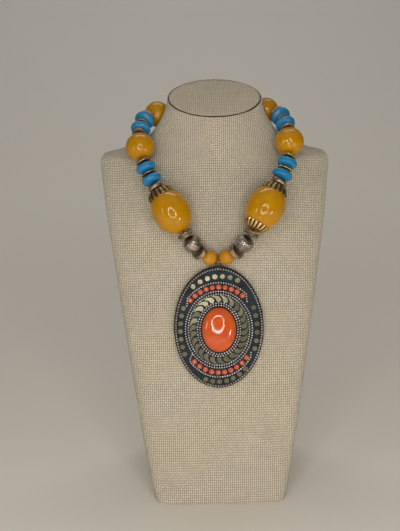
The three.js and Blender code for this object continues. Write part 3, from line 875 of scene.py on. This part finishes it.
for side in SIDE_NAMES:
    for kind, radius, waist, left_metal, right_metal, grains, slot in RINGS:
        node = f"{side}_{kind}"
        half = places[node][1]
        grained = grains if side == "right" else 0
        body_radius = radius - GRAIN_PROUD if grained else radius
        bm = turned(disc_outline(body_radius, half, waist, "rondelle" in kind), 48)
        if grained:
            size = min(0.75, half * 0.8)
            add_grains(bm, grained, radius - size, 0, size)
        metal = left_metal if side == "left" else right_metal
        strand_piece(node, "ring", bm, metal)
print("metal rings:", 2 * len(RINGS))

# %% [markdown]
# ## Stamped silver beads
#
# The two silver beads are stamped from sheet in halves and soldered at the waist. The left one
# has broad smooth ribs between bands of grains, and the right one is covered with rows of
# small dots. Both start as a spun ball. The left one's ribs are pressed into it by moving its
# points in and out, and the dots are low balls sunk in the right one's wall.

# %% Silver beads
SILVER_RADIUS, SILVER_SQUARE = 6.25, 2.4
RIB_PUSH, RIB_TWIST = 0.055, 0.5
RIB_START, RIB_FADE = 2.2, 2.5  # mm from the bore, and on from there until they are full


def silver_bead(half, ribs, rows):
    """A silver bead with pressed ribs round it, or with rows of dots."""
    bm = turned(rounded_outline(SILVER_RADIUS, half, SILVER_SQUARE, steps=30), 96)
    for vert in bm.verts:
        point = vert.co
        out = hypot(point.x, point.y)
        if ribs and out > RIB_START:
            share = min(1, (out - RIB_START) / RIB_FADE) * max(0, 1 - (point.z / half) ** 4)
            turn = atan2(point.y, point.x)
            wave = abs(sin(ribs / 2 * turn + RIB_TWIST * point.z))
            push = 1 + RIB_PUSH * share * (wave - 0.35)
            point.x *= push
            point.y *= push
    for height, count, size in rows:
        angle = asin(max(-1, min(1, height / half)))
        ring_radius = SILVER_RADIUS * cos(angle) ** (2 / SILVER_SQUARE)
        add_grains(bm, count, ring_radius - 0.1, height, size)
    return bm


# height along the bore, count and radius of each row of dots
DOT_ROWS = [
    (height, count, 0.6)
    for height, count in ((-4.3, 13), (-3.0, 19), (-1.5, 22), (0, 23), (1.5, 22), (3.0, 19),
                          (4.3, 13))
]
silver_kinds = {
    "left": (10, [(-4.1, 18, 0.42), (4.1, 18, 0.42), (4.7, 14, 0.3)]),
    "right": (0, DOT_ROWS),
}
for side, (ribs, rows) in silver_kinds.items():
    node = f"{side}_silver_bead"
    place, half = places[node]
    bm = silver_bead(half, ribs, rows)
    piece(f"{side}_stamped_silver_bead", bm, place, old_silver, HELD, [node])
print("silver beads: 2, dots on the right one:", sum(count for _, count, _ in DOT_ROWS))

# %% [markdown]
# ## Fluted bead caps
#
# A bead cap is a thin dish of stamped sheet that hides the drilled end of a big bead. Its
# flutes fan out from a small collar to a scalloped edge. The dish is spun with many sides, and
# its points are then pushed in and out in step with the flutes, more and more towards the rim.

# %% Bead caps
CAP_WALL, CAP_OVER, CAP_BULGE = 0.45, 3.1, 0.9  # mm: sheet, reach over the bead, swelling


def fluted_cap(rim, neck, proud, flutes, bite, sharpness, twist):
    """A fluted dish, with the bead's end at z = 0 and the neck's face at z = proud."""
    outer, inner = rim / 2, neck / 2
    steps = 12
    curve = []
    for i in range(steps + 1):
        t = i / steps
        bulge = CAP_BULGE * sin(pi * t)
        drop = (proud + CAP_OVER) * t**1.35
        curve.append((inner + (outer - inner) * t + 0.35 * bulge, proud - drop + bulge))
    inside = [(r - CAP_WALL * 0.8, h - CAP_WALL) for r, h in reversed(curve)]
    collar = [(BORE, proud - 0.5), (BORE, proud), (inner - 0.5, proud), (inner - 0.2, proud + 0.1)]
    bm = turned(collar + curve + inside + [(inner - 1.2, proud - 0.6)], 8 * flutes)
    hollow = bm.verts.layers.float.new("hollow")
    for vert in bm.verts:
        point = vert.co
        out = hypot(point.x, point.y)
        share = max(0.0, min(1.0, (out - inner) / (outer - inner)))
        wave = 0.5 + 0.5 * cos(flutes * atan2(point.y, point.x) + twist * share)
        crease = 1 - wave**sharpness
        push = 1 - bite * share**0.6 * crease / outer
        point.x *= push
        point.y *= push
        point.z -= 0.45 * bite * share**0.5 * crease
        # The creases are marked darker towards the rim: patina kept there, and painted shade.
        vert[hollow] = min(1.0, 1.5 * share**0.4 * crease)
    return bm


# solid, metal, which end of the bead, then the cap's rim, neck, height over the bead's end,
# flutes, depth and sharpness of their creases, and twist
CAPS = [
    ("left_bead_cap", antique_brass, 1, 18.8, 9.6, 1.8, 16, 0.6, 0.4, 0.0),
    ("right_bead_cap", antique_brass, 1, 18.8, 9.6, 1.8, 16, 0.6, 0.4, 0.0),
    ("right_gold_cap", gold_plate, -1, 19.4, 9.2, 1.4, 18, 1.0, 0.35, 1.6),
]
for node, metal, way, *shape in CAPS:
    place, half = places[node.split("_")[0] + "_large_amber"]
    flip = Matrix.Rotation(pi, 4, "X") if way < 0 else Matrix()
    end = place @ Matrix.Translation((0, 0, way * half * MM)) @ flip
    slot = "gold_plate" if metal is gold_plate else "antique_brass"
    piece(f"{node}_fluted", fluted_cap(*shape), end, metal, HELD, [node], sharp=50)
print("fluted caps:", len(CAPS))

# %% [markdown]
# ## The medallion's tray
#
# The medallion is an oval tray of sheet brass, darkened all over, with a pierced tab soldered
# to its upper edge. It hangs from the jump ring and leans back against the chest. Everything
# on it is drawn flat, with x across, y up the plate and z out of its face, and one matrix sets
# it all in place. The tray is an oval block, whose upper face is inset and pushed down.

# %% The tray and its tab
PLATE_WIDTH, PLATE_HEIGHT, RIM = 62.0, 84.4, 3.6
WALL, FLOOR = 1.0, 1.0
TRAY_ROUND = 0.3
PLATE_LEAN = radians(10)
PLATE_MIDDLE = Vector((0, -27.4, 124.8))
plate = Matrix.Translation(PLATE_MIDDLE * MM) @ Matrix.Rotation(pi / 2 - PLATE_LEAN, 4, "X")
dark_brass = rubbed_metal("darkened_sheet_brass", "#433a31", "#1b1714", 0.36, 0.35)

bm = oval_block(PLATE_WIDTH, PLATE_HEIGHT, 0, RIM)
face = upper_face(bm)
inset(bm, face, WALL, 0.02)
bmesh.ops.translate(bm, vec=(0, 0, FLOOR - RIM), verts=face.verts)
rim_edges = [
    edge for edge in bm.edges
    if all(v.co.z > RIM - 0.01 for v in edge.verts)
    and len(edge.link_faces) == 2 and edge.calc_face_angle() > 0.5
]
foot_edges = [edge for edge in bm.edges if all(v.co.z < 0.01 for v in edge.verts)]
rounded(bm, rim_edges + foot_edges, TRAY_ROUND, steps=2)

# The pierced tab: half a disc on a short neck, the band between two rings of points.
TAB_Y, TAB_Z, TAB_OUTER, TAB_HOLE, TAB_THICK = 43.2, 2.7, 2.0, 1.3, 0.9
outer, inner = (
    bmesh.ops.create_circle(bm, cap_ends=False, radius=radius, segments=32)["verts"]
    for radius in (TAB_OUTER, TAB_HOLE)
)
for vert in outer:
    if vert.co.y < 0:
        vert.co.y = vert.co.y * 1.1 - 0.6
        vert.co.x = copysign(min(TAB_OUTER, abs(vert.co.x) * 1.25), vert.co.x)
tab_edges = {edge for vert in outer + inner for edge in vert.link_edges}
bridged = bmesh.ops.bridge_loops(bm, edges=list(tab_edges))["faces"]
front = raised(bm, bridged, TAB_THICK)
bmesh.ops.translate(bm, vec=(0, TAB_Y, TAB_Z - TAB_THICK / 2), verts=outer + inner + front)
face_out(bm)
piece("medallion_tray", bm, plate, dark_brass, SWINGING, ["pendant_setting"])
print("tray:", PLATE_WIDTH, "by", PLATE_HEIGHT, "mm, rim", RIM, "mm")

# %% [markdown]
# ## Dark lac
#
# Lac is a tree resin that is melted into the tray and presses up round the inlay. Here it is
# a very dark blue-green. Its slightly uneven skin has lost its gloss with wear, and dust and
# polish leave it a little cloudy. Its block fills the tray, and the middle of its upper face is
# shrunk to the stone's seat and pushed down.

# %% Lac ground
FACE = 3.1  # mm, the height of the lac's face
SEAT = 2.2  # mm, the height of the stone's seat
EDGE_DROP = 0.35  # mm, by which the lac sinks along the tray's wall
DROP = 1.7  # mm, the inlay's middle lies this far below the plate's
STONE_WIDTH, STONE_HEIGHT, STONE_GAP = 23.6, 31.0, 0.35

lac, lac_tree, lac_shader = new_material(
    "dark_lac", {"Roughness": 0.45, "IOR": 1.5, "Specular IOR Level": 0.14}
)
where = object_place(lac_tree)
cloud = cloudy(lac_tree, where, Scale=90.0, Detail=4.0, Roughness=0.6)
two_tone(lac_tree, lac_shader, cloud, (0.38, "#1a1a25"), (0.68, "#1f2f37"))
bumped(lac_tree, lac_shader, cloudy(lac_tree, where, Scale=700.0, Detail=3.0), 0.6, 0.12 * MM)

ground_width, ground_height = (size - 2 * WALL - 0.6 for size in (PLATE_WIDTH, PLATE_HEIGHT))
bm = oval_block(ground_width, ground_height, FLOOR + 0.3, FACE)
face = upper_face(bm)
outer_ring = list(face.verts)
inset(bm, face, 0.5, 0.5)
for vert in face.verts:
    vert.co.x *= (STONE_WIDTH / 2 + STONE_GAP) / (ground_width / 2 - 1)
    vert.co.y *= (STONE_HEIGHT / 2 + STONE_GAP) / (ground_height / 2 - 1)
    vert.co.y -= DROP
inset(bm, face, 0.12)
bmesh.ops.translate(bm, vec=(0, 0, SEAT - FACE), verts=face.verts)
bmesh.ops.translate(bm, vec=(0, 0, -EDGE_DROP), verts=outer_ring)
face_out(bm)
piece("lac_ground", bm, plate, lac, SWINGING, ["pendant_ground"])
print("lac:", round(FACE - FLOOR - 0.3, 1), "mm deep")

# %% [markdown]
# ## The coral-coloured stone
#
# The oval stone in the middle is cut as a cabochon: flat below, domed above and polished by
# hand, so its dome is not quite even and reflections bend in it. It is spun from a half
# outline, stretched to an oval, and its points are moved by a slow noise of less than a fifth
# of a millimetre.

# %% Coral cabochon
STONE_FOOT, STONE_GIRDLE, STONE_DOME = 2.5, 1.0, 5.0  # mm: its foot, and heights above that
DOME_STEPS = 14
UNEVEN = 0.16  # mm


def polished_coral(name, red, orange, scale):
    """Polished coral, clouded from red to orange."""
    material, tree, shader = new_material(
        name, {"Roughness": 0.1, "IOR": 1.55, "Coat Weight": 0.15, "Coat Roughness": 0.05}
    )
    sink_in(shader, 0.2, (1.0, 0.3, 0.12), 1.2 * MM)
    where = object_place(tree)
    clouds = cloudy(tree, where, Scale=scale, Detail=5.0, Roughness=0.6, Distortion=0.8)
    two_tone(tree, shader, clouds, (0.35, red), (0.68, orange))
    return material


coral = polished_coral("polished_coral_cabochon", "#c24b1e", "#ce6328", 90.0)
coral_small = polished_coral("small_coral_domes", "#c8583a", "#d26a48", 260.0)

girdle = STONE_FOOT + STONE_GIRDLE
outline = [(0.0, STONE_FOOT), (0.965, STONE_FOOT), (0.99, STONE_FOOT + 0.35), (1.0, girdle)]
for i in range(1, DOME_STEPS):
    angle = pi / 2 * i / DOME_STEPS
    outline.append((cos(angle) ** 0.86, girdle + STONE_DOME * sin(angle)))
outline.append((0.0, girdle + STONE_DOME))
bm = turned(outline, 96, closed=False)
bmesh.ops.scale(bm, vec=(STONE_WIDTH / 2, STONE_HEIGHT / 2, 1), verts=bm.verts)
for vert in bm.verts:
    if vert.co.z > girdle + 0.2:
        vert.co.z += UNEVEN * noise.noise(vert.co * 0.13 + Vector((3.1, 0.7, 0)))
bmesh.ops.translate(bm, vec=(0, -DROP, 0), verts=bm.verts)
piece("coral_cabochon", bm, plate, coral, SWINGING, ["centre_cabochon"])
print("stone:", STONE_WIDTH, "by", STONE_HEIGHT, "mm")

# %% [markdown]
# ## Rows of silver grains
#
# Beaded silver wire frames every part of the pattern: two rows next to each other round the
# stone, two more round the ring of commas, one along each crescent of coral and one near the
# rim. Each grain is a low ball of a few dozen faces, half sunk in the lac. The grains are
# spaced by length along their oval, as beaded wire is.

# %% Silver grain rows
GRAIN, GRAIN_RISE = 0.58, 0.22  # mm, a grain's radius, and its middle over the lac's face
grain_silver = rubbed_metal("beaded_silver_wire", "#f6f2ee", "#c0b9b2", 0.36, 0.8)


def oval_line(half_width, half_height, start, end, steps, middle_y=-DROP, flare=0):
    """Points along an oval, by degrees clockwise from its top. Its ends may flare outwards."""
    line = []
    for i in range(steps + 1):
        share = i / steps
        angle = radians(start + (end - start) * share)
        reach = 1 + flare * (2 * share - 1) ** 2
        x, y = reach * half_width * sin(angle), reach * half_height * cos(angle)
        line.append(Vector((x, middle_y + y, 0)))
    return line


def evenly(line, pitch, closed=False):
    """Points at an even pitch along a fine line."""
    lengths = [0.0]
    for a, b in zip(line, line[1:]):
        lengths.append(lengths[-1] + (b - a).length)
    count = max(1, round(lengths[-1] / pitch))
    found, k = [], 0
    for i in range(count if closed else count + 1):
        goal = lengths[-1] * i / count
        while k < len(line) - 2 and lengths[k + 1] < goal:
            k += 1
        step = lengths[k + 1] - lengths[k]
        found.append(line[k].lerp(line[k + 1], (goal - lengths[k]) / step if step else 0))
    return found


def oval_points(half_width, half_height, pitch, middle_y=-DROP):
    """Points at an even pitch round a whole oval."""
    return evenly(oval_line(half_width, half_height, 0, 360, 720, middle_y), pitch, closed=True)


def crescent(half_width, half_height, start, end, before, after, pitch=1.76):
    """The row along a crescent of coral, whose short ends turn in to the double row."""
    ends = [[Vector((*point, 0)) for point in points] for points in (before, after)]
    middle = oval_line(half_width, half_height, start, end, 240)
    return evenly(ends[0] + middle + ends[1], pitch)


grain_rows = [
    oval_points(13.1, 17.0, 1.83),
    oval_points(14.8, 18.5, 1.83),
    oval_points(21.2, 24.8, 1.72),
    oval_points(23.1, 26.6, 1.74),
    oval_points(29.7, 40.7, 1.84, middle_y=-0.45),
    crescent(29, 32.6, -47, 41, [(-21.9, 15.2)], [(19.6, 17.6)]),
    crescent(27, 33, 127, 228, [(22, -18)], [(-20.2, -21.6), (-18.8, -18.5)]),
]
bm = bmesh.new()
for row in grain_rows:
    for point in row:
        add_grain(bm, (point.x, point.y, FACE + GRAIN_RISE), GRAIN)
piece("silver_grain_rows", bm, plate, grain_silver, SWINGING)
print("silver grains:", sum(len(row) for row in grain_rows))

# %% [markdown]
# ## Coral domes, brass discs and commas
#
# Two crescents of small coral domes lie above and below the ring. Outside them run thin brass
# discs, pressed in by hand. They all lean a little to the ground, and each a little its own
# way, so they catch the light differently. The commas of the ring are cut from the same brass
# sheet and lean likewise: a round head inwards, and a tail that sweeps outwards and
# anticlockwise.

# %% Coral domes and brass discs
# half width and half height of the oval, first and last angle, count, flare of the ends
CORAL_ROWS = [
    (27.2, 29.6, -45.6, 37.5, 10, 0),
    (25.4, 29.9, 131.7, 222.6, 10, 0),
]
DISC_ROWS = [
    (26.6, 36.9, -38.5, 28.5, 7, 0.05),
    (26.4, 36.9, 66, 111.5, 6, 0),
    (26.6, 36.2, 138.5, 201, 7, 0.015),
    (26.6, 36.9, 243.5, 294.5, 7, 0),
]
DOME, DOME_SPREAD, DOME_FLATNESS = 1.8, 0.08, 0.72
DISC, DISC_THICK, DISC_SIDES, DISC_ROUGHNESS = 1.9, 0.6, 8, 0.06
DISC_LEAN, COMMA_LEAN = 0.118, 0.085  # radians by which the inlay leans to the ground
DISC_SPREAD, COMMA_SPREAD = 0.03, 0.025  # radians that each leans its own way
inlay_brass = rubbed_metal("aged_inlay_brass", "#6e6c5a", "#4d4b40", 0.2, 0.7, grain=0.004)
chance = np.random.default_rng(7)


def oval_row(half_width, half_height, start, end, count, flare):
    """Places evenly spread by angle along an oval."""
    return oval_line(half_width, half_height, start, end, count - 1, flare=flare)


def either_way(size, count=1):
    """Random values within a size to either side of nothing."""
    return [float(value) for value in chance.uniform(-size, size, count)]


def leant(point, lean, spread):
    """A place on the plate that leans to the ground, and a little its own way."""
    lean_x, lean_y = either_way(spread, 2)
    tilt = Matrix.Rotation(lean_x + lean, 4, "X") @ Matrix.Rotation(lean_y, 4, "Y")
    return Matrix.Translation(point) @ tilt


bm = bmesh.new()
for row in CORAL_ROWS:
    for x, y, _ in oval_row(*row):
        size = DOME + either_way(DOME_SPREAD)[0]
        at = Matrix.Translation((x, y, FACE - 0.1))
        add_ball(bm, DOME_BALL, at @ Matrix.Diagonal((size, size, DOME_FLATNESS * size, 1)))
piece("coral_domes", bm, plate, coral_small, SWINGING)

bm = bmesh.new()
for row in DISC_ROWS:
    for x, y, _ in oval_row(*row):
        at = leant((x, y, FACE + 0.05), DISC_LEAN, DISC_SPREAD)
        at @= Matrix.Rotation(either_way(pi)[0], 4, "Z")
        made = bmesh.ops.create_cone(
            bm, cap_ends=True, segments=DISC_SIDES, radius1=DISC, radius2=DISC - 0.1,
            depth=DISC_THICK, matrix=at,
        )
        for vert in made["verts"]:
            vert.co += Vector((*either_way(DISC_ROUGHNESS, 2), 0))
piece("brass_discs", bm, plate, inlay_brass, SWINGING, sharp=30)
print("coral domes:", sum(row[4] for row in CORAL_ROWS), "brass discs:",
      sum(row[4] for row in DISC_ROWS))

# %% Brass commas
COMMAS = 26
COMMA_FOOT, COMMA_TOP = -0.4, 0.45  # mm, from the lac's face
COMMA_MIDDLE = Vector((-1.2, 2.6, 0))
RING_WIDTH, RING_HEIGHT = 15.5, 19.1  # mm, half the oval that the commas' heads stand on
# The middle line of a comma from its head to its tail, as x clockwise, y outwards, half width.
COMMA_LINE = [
    (0.1, 1.75, 1.72), (-0.15, 2.45, 1.62), (-0.9, 3.15, 1.3), (-1.9, 3.72, 0.95),
    (-3.0, 4.1, 0.62), (-4.1, 4.3, 0.36), (-5.2, 4.38, 0.12),
]


def comma_outline():
    """The comma's outline: an arc round its head, and both sides of its middle line."""
    x, y, radius = COMMA_LINE[0]
    turns = [radians(degrees) for degrees in range(-170, 11, 20)]
    head = [(x + radius * cos(turn), y + radius * sin(turn)) for turn in turns]
    outer, inner = [], []
    lines = zip(COMMA_LINE, COMMA_LINE[1:], COMMA_LINE[2:])
    for (x0, y0, _), (x1, y1, width), (x2, y2, _) in lines:
        way = Vector((x2 - x0, y2 - y0)).normalized()
        outer.append((x1 + way.y * width, y1 - way.x * width))
        inner.append((x1 - way.y * width, y1 + way.x * width))
    return head + outer + [COMMA_LINE[-1][:2]] + inner[::-1]


def add_comma(bm, at):
    """Adds a comma as a thin block of its outline."""
    ring = [bm.verts.new((x, y, COMMA_FOOT)) for x, y in comma_outline()]
    upper = raised(bm, [bm.faces.new(ring)], COMMA_TOP - COMMA_FOOT)
    bmesh.ops.transform(bm, matrix=at, verts=ring + upper)


bm = bmesh.new()
band = oval_points(RING_WIDTH, RING_HEIGHT, 0.05)
for i in range(COMMAS):
    point = band[round(i * len(band) / COMMAS) % len(band)]
    outwards = atan2((point.y + DROP) / RING_HEIGHT**2, point.x / RING_WIDTH**2)
    turn = Matrix.Rotation(outwards - pi / 2, 4, "Z")
    middle = point + turn @ COMMA_MIDDLE + Vector((0, 0, FACE))
    at = leant(middle, COMMA_LEAN, COMMA_SPREAD)
    add_comma(bm, at @ turn @ Matrix.Translation(-COMMA_MIDDLE))
face_out(bm)
piece("brass_commas", bm, plate, inlay_brass, SWINGING, sharp=30)
print("brass commas:", COMMAS)

# %% [markdown]
# ## Jump ring, thread and clasp
#
# The jump ring is round wire that passes through the tab and round the thread, so the
# medallion swings freely. Its middle and size are read from its solid. The thread is a waxed,
# plied cord: its solid is a coarse tube, so a merged copy of that is smoothed by subdivision.
# The clasp at the nape is a plain barrel.

# %% Jump ring
WIRE, WIRE_SIDES = 0.4, 14  # mm, the wire's radius
low_corner, high_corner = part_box("jump_ring")
ring_middle = (low_corner + high_corner) / 2
reaches = np.linalg.norm(solid_points("jump_ring") - np.array(ring_middle), axis=1)
ring_radius = float(reaches.max()) / MM - WIRE
turns = [TURN * i / WIRE_SIDES for i in range(WIRE_SIDES)]
outline = [(ring_radius + WIRE * cos(turn), WIRE * sin(turn)) for turn in turns]
bm = turned(outline, 48)
place = Matrix.Translation(ring_middle) @ Matrix.Rotation(pi / 2, 4, "Y")
piece("round_wire_ring", bm, place, bright_brass, SWINGING, ["jump_ring"])
print("ring radius:", round(ring_radius, 2), "mm")

# %% Thread and clasp
cord, cord_tree, cord_shader = new_material("waxed_plied_cord", {"Roughness": 0.55})
plies = add(
    cord_tree, "TexWave", {"bands_direction": "DIAGONAL"},
    Vector=object_place(cord_tree), Scale=900.0, Distortion=1.5, Detail=1.0,
).outputs[0]
two_tone(cord_tree, cord_shader, plies, (0.0, "#17120e"), (1.0, "#43382c"))
bumped(cord_tree, cord_shader, plies, 0.7, 0.15 * MM)

for side in SIDE_NAMES:
    node = f"thread_{side}"
    bm = bmesh.new()
    bm.from_mesh(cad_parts[node].data)
    bmesh.ops.remove_doubles(bm, verts=bm.verts, dist=1e-6)
    bmesh.ops.join_triangles(
        bm, faces=bm.faces, angle_face_threshold=0.7, angle_shape_threshold=3.1
    )
    thread = piece(f"cord_{side}", bm, Matrix.Scale(1 / MM, 4), cord, HELD, [node], 60)
    smooth = thread.modifiers.new("smooth", "SUBSURF")
    smooth.levels = smooth.render_levels = 1

# The clasp's outline up from its waist, as radius and height. The lower half mirrors it.
BARREL = [
    (2.3, 0.15), (2.5, 0.35), (2.5, 4.7), (2.2, 4.9), (2.2, 5.2), (2.5, 5.4), (2.5, 6.4),
    (2.3, 6.8), (1.9, 7.0), (0.9, 7.0), (0.9, 6.2), (0.0, 6.2),
]
bm = turned([(radius, -height) for radius, height in reversed(BARREL)] + BARREL, 40)
place = Matrix.Translation(NAPE) @ Matrix.Rotation(pi / 2, 4, "Y")
piece("barrel_clasp", bm, place, antique_brass, HELD, ["clasp"], sharp=30)
print("cord: 1.2 mm thick, clasp", 2 * max(height for _, height in BARREL), "mm long")

# %% [markdown]
# ## Paper sweep and light
#
# The bust stands on pale paper that runs back and curves up behind it, so no edge shows. A
# thin ring lamp stands round the camera, which gives every polished bead its small bright
# ring. A tall narrow window stands on the left and a short strip low on the right, and each
# adds a soft streak. A wide card below brightens the bust's foot and throws no highlights, and
# a lamp lights the paper behind. The ceiling is pale, but the room behind the camera is dim,
# so the metal and the lac keep their dark places. The camera doesn't see the lamps directly.

# %% Paper sweep
SWEEP_WIDTH, SWEEP_FRONT, SWEEP_BACK, SWEEP_BEND, SWEEP_HEIGHT = 9.0, -5.0, 1.6, 1.0, 4.5
BEND_STEPS = 16
NEAR_GROUND, CEILING = 0.05, 0.3  # how bright the room is

paper, _, _ = new_material("matte_paper", {"Base Color": colour("#e2dfd8"), "Roughness": 0.9})
profile = [(SWEEP_FRONT, 0)]
for i in range(BEND_STEPS + 1):
    angle = pi / 2 * i / BEND_STEPS
    profile.append(
        (SWEEP_BACK + SWEEP_BEND * sin(angle), SWEEP_BEND * (1 - cos(angle)))
    )
profile.append((SWEEP_BACK + SWEEP_BEND, SWEEP_HEIGHT))
bm = bmesh.new()
points = [bm.verts.new((-SWEEP_WIDTH / 2, y, z)) for y, z in profile]
lines = [bm.edges.new(pair) for pair in zip(points, points[1:])]
grown = bmesh.ops.extrude_edge_only(bm, edges=lines)
bmesh.ops.translate(bm, vec=(SWEEP_WIDTH, 0, 0), verts=points_of(grown))
face_out(bm)
new_object("paper_sweep", bm, paper)

world = bpy.data.worlds.new("dim_room")
bpy.context.scene.world = world
world.use_nodes = True
sky = world.node_tree
background = sky.nodes["Background"]
background.inputs["Color"].default_value = colour("#f6ead8")
way = add(sky, "TexCoord").outputs["Generated"]
rising = add(
    sky, "MapRange", {"interpolation_type": "SMOOTHSTEP"},
    Value=add(sky, "SeparateXYZ", _0=way).outputs["Z"],
    From_Min=0.3, From_Max=0.9, To_Min=NEAR_GROUND, To_Max=CEILING,
)
sky.links.new(rising.outputs[0], background.inputs["Strength"])
bpy.context.scene.view_settings.view_transform = "Standard"
print("paper:", SWEEP_WIDTH, "m wide")

# %% Lamps
# name, place, aim and size in metres, watts, colour, roll in degrees, whether it glints
LAMPS = [
    ("window", (-0.92, -0.77, 0.36), (0, 0, 0.17), (0.09, 0.42), 1.2, "#fffaf4", 0, True),
    ("strip", (0.42, -0.52, 0.06), (0.02, 0, 0.04), (0.17, 0.045), 0.45, "#fffaf4", 40, True),
    ("low_fill", (0, -0.45, 0.03), (0, -0.03, 0.05), (0.5, 0.12), 0.55, "#fff0dc", 0, False),
    ("paper_lamp", (0, 0.9, 2.6), (0, 2.2, 0.8), (2.4, 0.5), 22, "#ffffff", 0, True),
]
for name, place, aim, size, power, hue, roll, glints in LAMPS:
    data = bpy.data.lights.new(name, "AREA")
    data.shape = "RECTANGLE"
    data.size, data.size_y = size
    data.energy = power
    data.color = colour(hue)[:3]
    lamp = in_scene(name, data)
    way = (Vector(aim) - Vector(place)).to_track_quat("-Z", "Y").to_matrix().to_4x4()
    lamp.matrix_world = (
        Matrix.Translation(place) @ way @ Matrix.Rotation(radians(roll), 4, "Z")
    )
    lamp.visible_camera = False
    lamp.visible_glossy = glints

# The ring lamp is a flat glowing ring, square to the camera's aim and level with its lens.
RING_LAMP_RADIUS, RING_LAMP_BAND, RING_LAMP_GLOW = 0.19, 0.026, 20.5
glow, _, _ = new_material(
    "glowing_ring",
    {"Base Color": (0, 0, 0, 1), "Emission Color": colour("#fffaf2"),
     "Emission Strength": RING_LAMP_GLOW},
)
bm = bmesh.new()
for side in (-1, 1):
    radius = RING_LAMP_RADIUS + side * RING_LAMP_BAND / 2
    bmesh.ops.create_circle(bm, cap_ends=False, radius=radius, segments=96)
bmesh.ops.bridge_loops(bm, edges=list(bm.edges))
bmesh.ops.transform(bm, matrix=camera.matrix_world, verts=bm.verts)
ring_lamp = new_object("ring_lamp", bm, glow)
ring_lamp.visible_camera = False
print("lamps:", len(LAMPS) + 1, "- the ring is", 2 * RING_LAMP_RADIUS, "m across")
